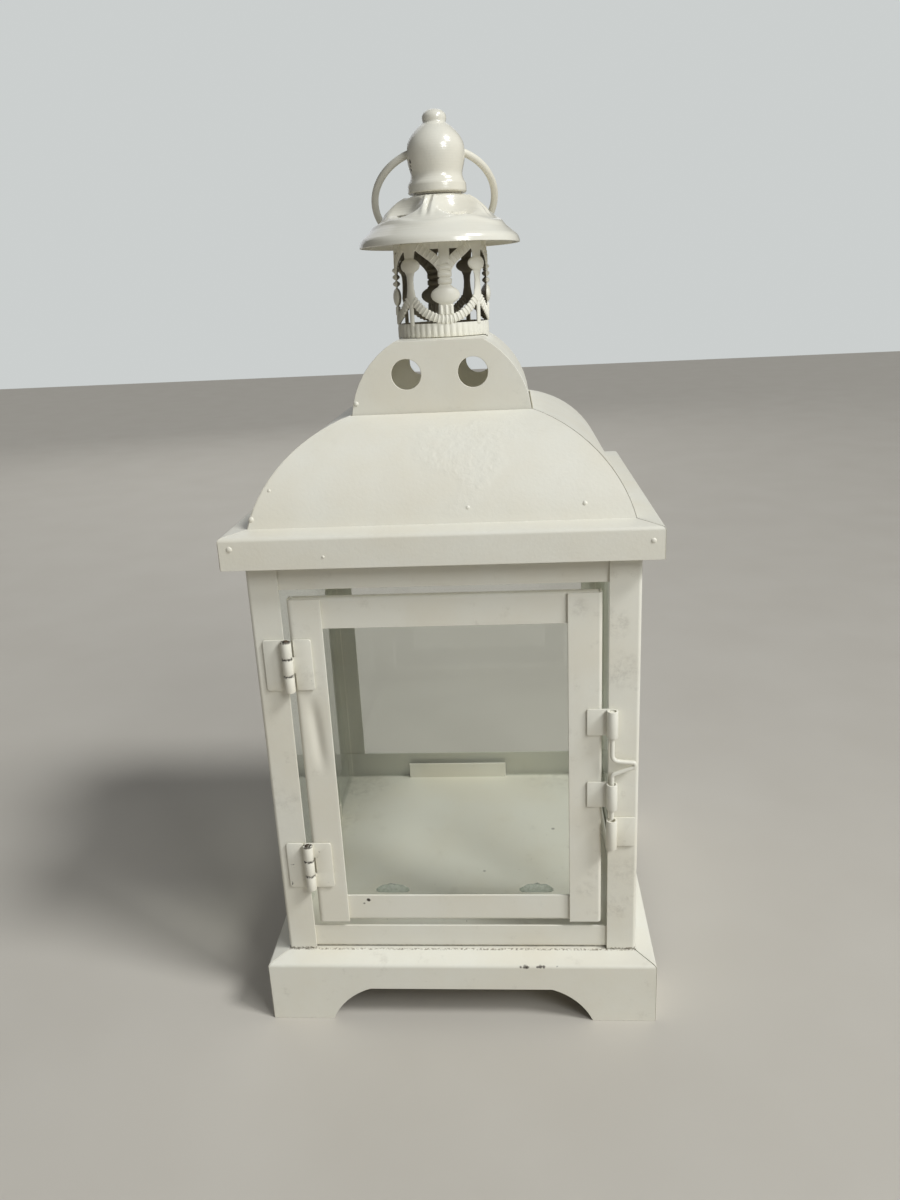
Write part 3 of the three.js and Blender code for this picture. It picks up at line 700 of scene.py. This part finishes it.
# %% Weld beads and silicone dabs
BEADS = {
    "roof_front": [((-61.6, -62.2, 192.7), 0.95, 0.4), ((46.8, -61.5, 194.6), 0.8, 0.42),
                   ((-67.3, -71.2, 185.1), 1.05, 0.38), ((67.3, -71.2, 184.2), 0.9, 0.34),
                   ((-55.7, -58.2, 201.3), 0.6, 0.3), ((9.4, -61.6, 194.4), 0.7, 0.22),
                   ((-37.0, -71.2, 181.9), 0.5, 0.28)],
    "dome_front_plate": [((-29.3, -31.0, 225.1), 0.9, 0.4)],
    "roof_back": [((60.5, 62.2, 192.5), 0.9, 0.4), ((-67.0, 71.2, 184.4), 0.9, 0.34)],
    "roof_left": [((-71.2, 66.5, 184.6), 0.9, 0.34)],
    "roof_right": [((71.2, -66.8, 184.9), 0.9, 0.34)],
}


def bead(sheet, spot, radius, tall):
    """A small bead on the sheet's skin, at the place nearest to spot."""
    _, place, normal, _ = sheet.closest_point_on_mesh(Vector(spot) * MM)
    outline = [(-0.3, 1.0), (0.0, 0.98), (0.45, 0.82), (0.8, 0.52), (1.0, 0.12)]
    small = stack("bead", [(tall * share, radius * r, radius * r) for share, r in outline], 14)
    turn = normal.to_track_quat("Z", "Y").to_matrix().to_4x4()
    small.data.transform(Matrix.Translation(place) @ turn)
    return soften(small, 0, smooth=70)


for node, spots in BEADS.items():
    for spot, radius, tall in spots:
        sheet = sheets[node]
        sheets[node] = join_up([sheet, bead(sheet, spot, radius, tall)], node + "_sheet")
for node, piece in sheets.items():
    fit(piece, body_of[node], "cream_paint", sheet_finish(node), node)


def silicone_material():
    material, tree, in_mm = start_material("clear_silicone")
    lumps = noise(tree, in_mm, 1.3, 3.0)
    bump = tree.node("Bump", inputs={"Height": lumps, "Distance": 0.15 * MM})
    rubber = tree.node("BsdfPrincipled", inputs={
        "Base Color": lumps.between(colour(196, 201, 190), colour(222, 225, 214)),
        "Roughness": 0.2 + 0.15 * lumps,
        "Normal": bump,
    })
    clear = tree.node("BsdfTransparent", inputs={"Color": (0.93, 0.97, 0.95, 1)})
    mixed = tree.node("MixShader", inputs={0: 0.35 + 0.2 * lumps, 1: clear, 2: rubber})
    tree.node("OutputMaterial", inputs={"Surface": mixed})
    return material


clear_silicone = silicone_material()
behind_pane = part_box("door_glass")[1].y / MM + 0.28
rail_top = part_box("door_bottom_rail")[1].z / MM
for k, across in enumerate((-24.5, 29.0)):
    outline = [(-1.0, 5.6, 0.3), (-0.4, 6.3, 0.4), (0.6, 6.2, 0.42), (1.4, 5.2, 0.36),
               (2.0, 3.7, 0.28), (2.5, 1.4, 0.14)]
    rings = [(rail_top + z, wide, deep) for z, wide, deep in outline]
    dab = stack(f"silicone_dab_{k + 1}", rings, 40, (across, behind_pane))
    for vert in dab.data.vertices:
        wave = math.sin(1.7 * vert.co.x / MM + 2.1 * k) + 0.6 * math.sin(3.9 * vert.co.x / MM)
        vert.co.z += 0.22 * wave * MM * max(vert.co.z / MM - rail_top, 0) / 2
    fit(soften(dab, 0, smooth=80), body_of["door_glass"], "pane_glass", clear_silicone)

# %% [markdown]
# The latch is three short rolled tubes: two guides on the door and a keeper on
# the post. They are rolled over their whole height, so each has one band.

# %% Latch tubes
wire_low, wire_high = corners("latch_wire")
WIRE_THICK = (wire_high.y - wire_low.y) / 2
latch_axis = (wire_low.x + WIRE_THICK, (wire_low.y + wire_high.y) / 2)
for node, side in (("latch_guide_upper", -1), ("latch_guide_lower", -1), ("latch_keeper", 1)):
    low, high = corners(node)
    radius = high.y - latch_axis[1]
    tube = rolled_leaf(node + "_rolled", low, high, latch_axis, side, radius, [(low.z, high.z)], 0.5)
    fit(tube, body_of[node], "cream_paint", cream_enamel, node)
print("latch axis:", [round(c, 2) for c in latch_axis])

# %% [markdown]
# The latch itself is bent from one length of wire: down through the upper guide,
# out sideways for the thumb, back and down through the lower guide. A path drawn
# as a curve and given a round section makes it, because its bends then keep their
# thickness. The curve becomes a mesh at once.


# %% Bent wire
def rounded_path(points, radii, steps=7):
    """A path through corners, each rounded by a smooth bend of its own radius."""
    path = [points[0]]
    for before, here, after, radius in zip(points, points[1:], points[2:], radii):
        start = here + (before - here).normalized() * radius
        end = here + (after - here).normalized() * radius
        for k in range(steps + 1):
            t = k / steps
            path.append(start * (1 - t) ** 2 + here * 2 * t * (1 - t) + end * t * t)
    path.append(points[-1])
    return path


def drawn(name, path, thick, sides=4, shares=None):
    """A round bar along a path in millimetres. shares scale it point by point."""
    line = bpy.data.curves.new(name, "CURVE")
    line.dimensions = "3D"
    line.bevel_depth = thick * MM
    line.bevel_resolution = sides
    line.use_fill_caps = True
    spline = line.splines.new("POLY")
    spline.points.add(len(path) - 1)
    for point, place, share in zip(spline.points, path, shares or [1.0] * len(path)):
        point.co = (*(Vector(place) * MM), 1)
        point.radius = share
    piece = bpy.data.objects.new(name, line)
    bpy.context.scene.collection.objects.link(piece)
    alone(piece)
    bpy.ops.object.convert(target="MESH")
    piece = bpy.context.active_object
    with editing(piece, whole=True):
        bpy.ops.mesh.remove_doubles(threshold=0.001 * MM)
        bpy.ops.mesh.normals_make_consistent(inside=False)
    return piece


LATCH_DROP = 2.8       # the wire's travel, which its lower bend stays clear of
WORN_SHARE = 0.84      # how thick the wire is, as a share of the CAD wire
THUMB_ROUND = 1.5      # height of the round end that the thumb pushes
gap_foot = corners("latch_guide_lower")[1].z
gap_tall = corners("latch_guide_upper")[0].z - gap_foot
thumb_tip = wire_high.x - WIRE_THICK + 0.95
thumb_top = gap_foot + 0.45 * gap_tall
turns = [
    (latch_axis[0], wire_high.z),
    (latch_axis[0], gap_foot + 0.49 * gap_tall),
    (thumb_tip, thumb_top),
    (thumb_tip, thumb_top - THUMB_ROUND),
    (latch_axis[0], gap_foot + LATCH_DROP + 0.7),
    (latch_axis[0], wire_low.z),
]
turns = [Vector((x, latch_axis[1], z)) for x, z in turns]
latch_path = rounded_path(turns, [2.6, THUMB_ROUND / 2, THUMB_ROUND / 2, 1.1])
print("gap between the guides:", round(gap_tall, 2), "tip:", round(thumb_tip - latch_axis[0], 2))
latch_bar = soften(drawn("latch_wire_bent", latch_path, WORN_SHARE * WIRE_THICK, 5), 0, smooth=50)
fit(latch_bar, body_of["latch_wire"], "cream_paint", wire_enamel, "latch_wire")

# %% [markdown]
# The chimney is a strip of thin metal, pressed in relief and pierced while flat,
# and then rolled into a drum. It is made here in that same order. One repeat of
# the pattern is laid out flat, with x along the strip, from parts that each have
# their own relief: a tall baluster with an oval knob, a slimmer one with a round
# knob, ribbed swags between their feet, and forked arms under the top band.

# %% One repeat of the chimney's pattern
drum_low, drum_high = corners("chimney")
DRUM_RADIUS = (drum_high.x - drum_low.x) / 2
REPEATS = 4
REPEAT = 2 * math.pi * DRUM_RADIUS / REPEATS
shell_top = corners("dome_shell")[1].z
strip_foot = shell_top + 0.3
band_top = strip_foot + 4.6
top_band_foot = strip_foot + 29.0


def baluster(name, profile, along):
    """A flat baluster through (height above the strip's foot, half width, relief)."""
    rings = [(strip_foot + z, wide, relief) for z, wide, relief in profile]
    return stack(name, rings, 20, (along, 0))


def knob(low, high, widest, neck, relief, steps=9):
    """A round or oval knob, from neck width to its widest and back again."""
    outline = []
    for k in range(steps + 1):
        share = (1 - math.cos(math.pi * (0.04 + 0.92 * k / steps))) / 2
        swell = math.sqrt(1 - (2 * share - 1) ** 2)
        outline.append((low + (high - low) * share, max(neck, widest * swell),
                        0.35 + (relief - 0.35) * swell))
    return outline


def beads(low, high, count, wide, groove, relief):
    """Rounded rings, one above the other, with narrow grooves between them."""
    step = (high - low) / count
    outline = []
    for k in range(count):
        foot = low + k * step
        for share, width, depth in ((0.02, groove, 0.3), (0.16, wide, 0.6 * relief),
                                    (0.36, wide, relief), (0.6, wide, relief),
                                    (0.82, wide, 0.6 * relief), (0.96, groove, 0.3)):
            outline.append((foot + share * step, width, depth))
    return outline


tall = [(7.4, 2.7, 0.35), (10.6, 2.6, 0.35)] + knob(10.9, 16.9, 5.2, 2.5, 1.45)
tall += beads(17.3, 24.2, 3, 2.45, 1.9, 1.3)
tall += [(24.5, 2.3, 0.6), (26.0, 1.95, 0.6), (28.0, 1.9, 0.5), (40.5, 1.9, 0.5)]
slim = [(4.0, 0.95, 0.55), (10.4, 0.95, 0.55), (11.8, 1.6, 0.5), (13.2, 2.3, 0.5),
        (14.6, 2.0, 0.55), (16.2, 1.6, 0.6), (18.4, 1.4, 0.6), (20.4, 1.6, 0.55),
        (21.4, 2.1, 0.4)]
slim += knob(21.6, 26.4, 4.5, 2.2, 1.3)
slim += [(26.8, 2.3, 0.45), (28.2, 2.5, 0.5), (29.6, 3.4, 0.5), (31.0, 4.6, 0.4)]
flat_pieces = [baluster("tall", tall, 0), baluster("slim", slim, REPEAT / 2)]
print("drum radius", round(DRUM_RADIUS, 2), "repeat", round(REPEAT, 2))

# %% [markdown]
# The swags and the forked arms are ribbed bars. A bar is drawn along its path and
# pressed flat, and small ribs are laid across it, each one a copy of the first.


# %% Ribbed swags and arms
def point_along(path, share):
    """The place and the direction at a share of a path's length."""
    lengths = [(b - a).length for a, b in zip(path, path[1:])]
    goal = share * sum(lengths)
    for a, b, length in zip(path, path[1:], lengths):
        if goal <= length:
            return a + (b - a) * (goal / length), (b - a).normalized()
        goal -= length
    return path[-1], (path[-1] - path[-2]).normalized()


def press_flat(piece, share):
    """Squeezes a piece towards the plane of the strip."""
    with editing(piece, whole=True):
        bpy.ops.transform.resize(value=(1, share, 1), center_override=(0, 0, 0))
    return piece


def ribbed_bar(name, path, wide, ribs, rib_long, rib_wide=0.5):
    """A flat bar along a path in the strip's plane, with ribs across it."""
    bar = press_flat(drawn(name, path, wide, 3), 0.42 / wide)
    first = stack("rib", [(-rib_long, 0.2, 0.2), (-0.8 * rib_long, rib_wide, 0.62),
                          (0.8 * rib_long, rib_wide, 0.62), (rib_long, 0.2, 0.2)], 10)
    parts = [bar]
    for k in range(ribs):
        spot, ahead = point_along(path, (k + 0.5) / ribs)
        rib = duplicate(first, "rib_copy")
        lean = Matrix.Rotation(-math.atan2(ahead.z, ahead.x), 4, "Y")
        rib.data.transform(Matrix.Translation(spot * MM) @ lean)
        parts.append(rib)
    bpy.data.objects.remove(first)
    return join_up(parts, name)


half_swag = REPEAT / 2 - 1.0


def swag_height(along):
    """The swag hangs lowest under the tall baluster and climbs to the slim one."""
    share = min(abs(along) / half_swag, 1.0)
    return strip_foot + 5.9 + 6.9 * share ** 2.1


swag_path = [Vector((x, 0, swag_height(x))) for x in
             [half_swag * (k / 16 - 1) for k in range(33)]]
flat_pieces.append(ribbed_bar("swag", swag_path, 1.5, 21, 1.65))
ARM = [(0.5, 21.6), (1.2, 23.2), (2.4, 24.8), (4.0, 26.3), (5.9, 27.7), (7.9, 29.1), (9.9, 30.6)]
for side in (-1, 1):
    arm = [Vector((side * x, 0, strip_foot + z)) for x, z in ARM]
    flat_pieces.append(ribbed_bar("arm", arm, 1.75, 8, 1.45, 0.42))
FLUTE_AT = (-1.75, 0.0, 1.75)
for along in FLUTE_AT:
    flute = [(7.3, 0.2, 0.2), (7.7, 0.62, 0.8), (10.4, 0.6, 0.8), (10.9, 0.2, 0.2)]
    flute = [(strip_foot + z, wide, relief) for z, wide, relief in flute]
    flat_pieces.append(stack("flute", flute, 12, (along, 0)))
repeat = join_up(flat_pieces, "chimney_repeat")
print("one repeat:", len(repeat.data.polygons), "faces")

# %% [markdown]
# The foot and the top of the strip are fluted bands. A grid with a few columns to
# a flute is pushed in and out column by column, and gets its thickness from
# Solidify. All four repeats and both bands then roll up in one go: a Bend by the
# strip's own length over the radius closes the drum exactly.

# %% Fluted bands, and the roll
ring_joint = next(joint for joint in frame["joints"] if joint["name"] == "ring_swing")
head_turn = math.atan2(ring_joint["axis"][1], ring_joint["axis"][0])
FLUTES = 48
FLUTE_STEPS = 6


def fluted_band(name, foot, top, deep):
    """A fluted strip as long as the drum is round."""
    length = REPEATS * REPEAT
    bpy.ops.object.select_all(action="DESELECT")
    middle = (0, 0, (foot + top) / 2 * MM)
    bpy.ops.mesh.primitive_grid_add(x_subdivisions=FLUTES * FLUTE_STEPS, y_subdivisions=4,
                                    size=MM, location=middle, rotation=(math.pi / 2, 0, 0))
    band = seat(added(name))
    with editing(band, whole=True):
        bpy.ops.transform.resize(value=(length, 1, top - foot), center_override=middle)
    for vert in band.data.vertices:
        turn = vert.co.x / (length * MM) * FLUTES * 2 * math.pi
        near_edge = min(vert.co.z / MM - foot, top - vert.co.z / MM)
        vert.co.y -= deep * MM * abs(math.cos(turn / 2)) * (1 if near_edge > 0.5 else 0.45)
    return modify(band, "SOLIDIFY", thickness=0.7 * MM, offset=-1)


flat = [fluted_band("foot_band", strip_foot - 1.4, band_top, 0.38),
        fluted_band("top_band", top_band_foot, drum_high.z - 0.1, 0.3)]
for k in range(REPEATS):
    shift = (k - 1) * REPEAT + head_turn * DRUM_RADIUS
    flat.append(duplicate(repeat, "repeat_copy", (shift, 0, 0)))
bpy.data.objects.remove(repeat)
drum = join_up(flat, "chimney_drum")
across = [vert.co.x for vert in drum.data.vertices]
SKIN = 0.55
modify(drum, "SIMPLE_DEFORM", deform_method="BEND", deform_axis="Z",
       angle=(max(across) - min(across)) / ((DRUM_RADIUS - SKIN) * MM))
print("drum rolled:", [round(c / MM, 2) for c in drum.dimensions])

# %% [markdown]
# The rolled drum is centred on the lantern's axis, and its foot is trimmed to the
# dome it stands on, which falls away on both sides.

# %% Seat the drum
DOME_FLAT_HALF = 15.0
DOME_ARCH_RADIUS = 31.2


def dome_top_at(x):
    """The height of the dome's skin, x millimetres to the side."""
    drop = math.sqrt(DOME_ARCH_RADIUS ** 2 - max(abs(x), DOME_FLAT_HALF) ** 2)
    return shell_top + drop - math.sqrt(DOME_ARCH_RADIUS ** 2 - DOME_FLAT_HALF ** 2)


spots = [vert.co.copy() for vert in drum.data.vertices]
mid_y = (max(s.y for s in spots) + min(s.y for s in spots)) / 2
for vert in drum.data.vertices:
    vert.co.y -= mid_y
    if vert.co.z / MM < strip_foot - 0.2:
        vert.co.z = (dome_top_at(vert.co.x / MM) + 0.25) * MM
with editing(drum, whole=True):
    bpy.ops.mesh.remove_doubles(threshold=0.002 * MM)
fit(soften(drum, 0, smooth=48), "lantern", "cream_paint", drum_enamel, "chimney")

# %% [markdown]
# The cap is pressed from one disc: a cone with a rolled lip, and five shallow
# hollows round its upper half, with a doubled rib between each two. Rings of a
# disc give the cone, and each point is then pushed along the cone's own normal,
# which is what the press does. Sculpting by hand would give the same, but not
# five times alike.

# %% Embossed cap
cap_low, cap_high = corners("chimney_cap")
CAP_SIDES = 160
HOLLOWS = 5
RIB_AT = math.radians(-98)
CONE_TOP = 10.4        # where the cone starts, from the axis
SLOPE_STEPS = 30
cap_reach = cap_high.x
cap_outline = [(2.2, cap_high.z), (6.0, cap_high.z), (9.6, cap_high.z - 0.05)]
slope_out = cap_reach - 1.9 - CONE_TOP
slope_down = cap_high.z - cap_low.z - 3.75
for k in range(SLOPE_STEPS + 1):
    share = k / SLOPE_STEPS
    swell = 0.4 * math.sin(math.pi * share)
    cap_outline.append((CONE_TOP + slope_out * share,
                        cap_high.z - 0.35 - slope_down * share + swell))
cap_outline += [(cap_reach - 1.3, cap_low.z + 2.95), (cap_reach - 0.75, cap_low.z + 2.35),
                (cap_reach - 0.35, cap_low.z + 1.65), (cap_reach - 0.1, cap_low.z + 0.85),
                (cap_reach, cap_low.z)]


def bump(distance, width):
    """A round hump: 1 in the middle, 0 well beyond width."""
    return math.exp(-((distance / width) ** 2))


def press(radius, angle):
    """How far the press moves the cap's skin outwards, in millimetres."""
    pitch = 2 * math.pi / HOLLOWS
    off = (angle - RIB_AT + pitch / 2) % pitch - pitch / 2
    from_hollow = (pitch / 2 - abs(off)) * 16.0
    away = math.hypot((radius - 15.5) / 5.1, from_hollow / 7.6)
    bowl = max(0.0, 1 - away * away) ** 1.25
    rim = bump(away - 1.1, 0.2)
    fade = 1 / (1 + math.exp((radius - 19.4) * 2.4)) / (1 + math.exp((10.9 - radius) * 6))
    ribs = bump(abs(off) * radius - 1.3, 0.85) * fade
    groove = bump(off * radius, 0.65) * fade
    brow = bump(radius - 22.3 - 0.9 * math.cos(2 * math.pi * off / pitch), 0.9)
    return -2.7 * bowl + 0.35 * rim * fade + 0.9 * ribs - 0.45 * groove + 0.45 * brow


bpy.ops.object.select_all(action="DESELECT")
bpy.ops.mesh.primitive_circle_add(vertices=CAP_SIDES, radius=cap_outline[0][0] * MM,
                                  fill_type="NOTHING", location=(0, 0, cap_outline[0][1] * MM))
cap = seat(added("chimney_cap_pressed"))
with editing(cap, whole=True):
    for (r0, z0), (r1, z1) in zip(cap_outline, cap_outline[1:]):
        step = (0, 0, (z1 - z0) * MM)
        bpy.ops.mesh.extrude_region_move(TRANSFORM_OT_translate={"value": step})
        bpy.ops.transform.resize(value=(r1 / r0, r1 / r0, 1), center_override=(0, 0, z1 * MM))
slope = Vector((slope_down, slope_out)).normalized()
for vert in cap.data.vertices:
    radius = math.hypot(vert.co.x, vert.co.y) / MM
    if 10.2 < radius < cap_reach - 2:
        angle = math.atan2(vert.co.y, vert.co.x)
        push = press(radius, angle) * MM
        vert.co += Vector((math.cos(angle) * slope.x, math.sin(angle) * slope.x, slope.y)) * push
with editing(cap, whole=True):
    bpy.ops.mesh.normals_make_consistent(inside=False)
up = sum(face.normal.z for face in cap.data.polygons)
modify(cap, "SOLIDIFY", thickness=0.7 * MM, offset=-1 if up > 0 else 1)
fit(soften(cap, 0, smooth=60), "lantern", "gloss_paint", gloss_enamel, "chimney_cap")

# %% [markdown]
# The finial is turned: a collar, a waist, a round bulb and a small knob. Its
# outline is a list of heights and radii, and the ring handle's cross hole is cut
# with a Boolean, because a hole through a curved side has no simple outline.

# %% Finial
finial_low, finial_high = corners("finial")
tall_by = finial_high.z - finial_low.z
FINIAL_OUTLINE = [
    (0.0, 8.4), (0.018, 8.5), (0.02, 10.0), (0.034, 10.3), (0.108, 10.3), (0.128, 10.22), (0.142, 10.0),
    (0.158, 9.72), (0.178, 9.42), (0.2, 9.2), (0.225, 9.05), (0.25, 9.05), (0.285, 9.25),
    (0.32, 9.5), (0.37, 9.82), (0.42, 10.08), (0.47, 10.24), (0.52, 10.26), (0.565, 10.08),
    (0.61, 9.68), (0.65, 9.16), (0.69, 8.45), (0.725, 7.65), (0.755, 6.85), (0.785, 5.95),
    (0.808, 5.15), (0.824, 4.5), (0.834, 4.12), (0.846, 3.98), (0.862, 4.08), (0.885, 4.22),
    (0.91, 4.22), (0.935, 3.98), (0.957, 3.5), (0.975, 2.85), (0.988, 2.05), (0.997, 1.05),
    (1.0, 0.3),
]
rings = [(finial_low.z + share * tall_by, r, r) for share, r in FINIAL_OUTLINE]
finial = stack("finial_turned", rings, 96)
bore_z = ring_joint["pos_m"][2] / MM
bpy.ops.object.select_all(action="DESELECT")
bpy.ops.mesh.primitive_cylinder_add(vertices=40, radius=2.95 * MM, depth=0.03,
                                    location=(0, 0, bore_z * MM),
                                    rotation=(0, math.pi / 2, head_turn))
drill = seat(added("drill"))
modify(finial, "BOOLEAN", operation="DIFFERENCE", object=drill, solver="EXACT")
bpy.data.objects.remove(drill)
fit(soften(finial, 0, smooth=38), "lantern", "gloss_paint", gloss_enamel, "finial")
print("cross hole at height", round(bore_z, 2))

# %% [markdown]
# The handle is a round ring of wire, bent shut with its ends meeting inside the
# finial. It is drawn along its path like the latch wire, leaned to where it comes
# to rest on the cap.

# %% Ring handle
RING_THICK = 1.3       # half of the wire's thickness
RING_OFFSET = 1.35     # how far inside the ring's middle line the pivot lies
along_axis = Vector((math.cos(head_turn), math.sin(head_turn), 0))
leaning = Vector((-math.sin(head_turn), math.cos(head_turn), 0))
spread = [vert.co / MM for vert in nodes["ring_handle"].data.vertices]
far_end = max(spread, key=lambda spot: spot.dot(leaning) - spot.z)
lean = math.atan2(bore_z - far_end.z, far_end.dot(leaning))
across_ring = [spot.dot(along_axis) for spot in spread]
ring_radius = (max(across_ring) - min(across_ring)) / 2 - RING_THICK
ring_centre = ring_radius - RING_OFFSET
RING_STEPS = 96
split = 0.5 / ring_radius
ring_path = []
for k in range(RING_STEPS + 1):
    turn = split + (2 * math.pi - 2 * split) * k / RING_STEPS
    out = ring_centre - ring_radius * math.cos(turn)
    ring_path.append(along_axis * (ring_radius * math.sin(turn))
                     + leaning * (out * math.cos(lean))
                     + Vector((0, 0, bore_z - out * math.sin(lean))))
handle = drawn("ring_handle_wire", ring_path, RING_THICK, 6)
fit(soften(handle, 0, smooth=50), "ring", "cream_paint", cream_enamel, "ring_handle")
print("ring radius", round(ring_radius, 2), "lean", round(math.degrees(lean), 2))

# %% [markdown]
# A plain pale floor, daylight from a window on the right, a soft light before and
# above the lantern, a large weak one behind it, and a dim sky in the shadows. The
# camera sees a pale wall in place of that sky.

# %% Floor and light
def floor_material():
    material, tree, in_mm = start_material("studio_floor")
    grain = noise(tree, in_mm, 60, 3.0)
    paint_with(tree, {"Base Color": grain.between(colour(192, 186, 175), colour(200, 195, 185)),
                      "Roughness": 0.6 + 0.1 * grain})
    return material


bpy.ops.object.select_all(action="DESELECT")
bpy.ops.mesh.primitive_plane_add(size=6)
floor = added("studio_floor")
dress(floor, floor_material())


def soft_light(name, place, target, size, power, tint):
    lamp = bpy.data.lights.new(name, "AREA")
    lamp.shape = "RECTANGLE"
    lamp.size, lamp.size_y = size
    lamp.energy = power
    lamp.color = tint
    thing = bpy.data.objects.new(name, lamp)
    bpy.context.scene.collection.objects.link(thing)
    aim = (Vector(target) - Vector(place)).to_track_quat("-Z", "Y")
    thing.matrix_world = Matrix.Translation(place) @ aim.to_matrix().to_4x4()


soft_light("key", (0.46, -0.6, 0.64), (0, 0, 0.26), (0.26, 0.36), 2.9, (0.97, 0.99, 1.0))
soft_light("fill", (-0.35, 1.2, 0.9), (0, 0, 0.17), (1.2, 1.2), 3.0, (0.96, 0.98, 1.0))
sun = bpy.data.lights.new("window_light", "SUN")
sun.energy = 2.0
sun.color = (0.965, 0.985, 1.0)
sun.angle = math.radians(14)
window = bpy.data.objects.new("window_light", sun)
bpy.context.scene.collection.objects.link(window)
window.matrix_world = Vector((0.8, -0.34, 0.95)).to_track_quat("Z", "Y").to_matrix().to_4x4()
sky = bpy.data.worlds.new("studio_sky")
sky.use_nodes = True
sky.node_tree.nodes.clear()
dome = Shade(sky.node_tree)
seen = dome.node("LightPath", output="Is Camera Ray")
glow = dome.node("Background", inputs={"Color": (0.86, 0.88, 0.9, 1), "Strength": 0.14})
wall = dome.node("Background", inputs={"Color": (0.6, 0.625, 0.62, 1), "Strength": 1.0})
dome.node("OutputWorld", inputs={
    "Surface": dome.node("MixShader", inputs={0: seen, 1: glow, 2: wall}),
})
bpy.context.scene.view_settings.view_transform = "Standard"
bpy.context.scene.world = sky
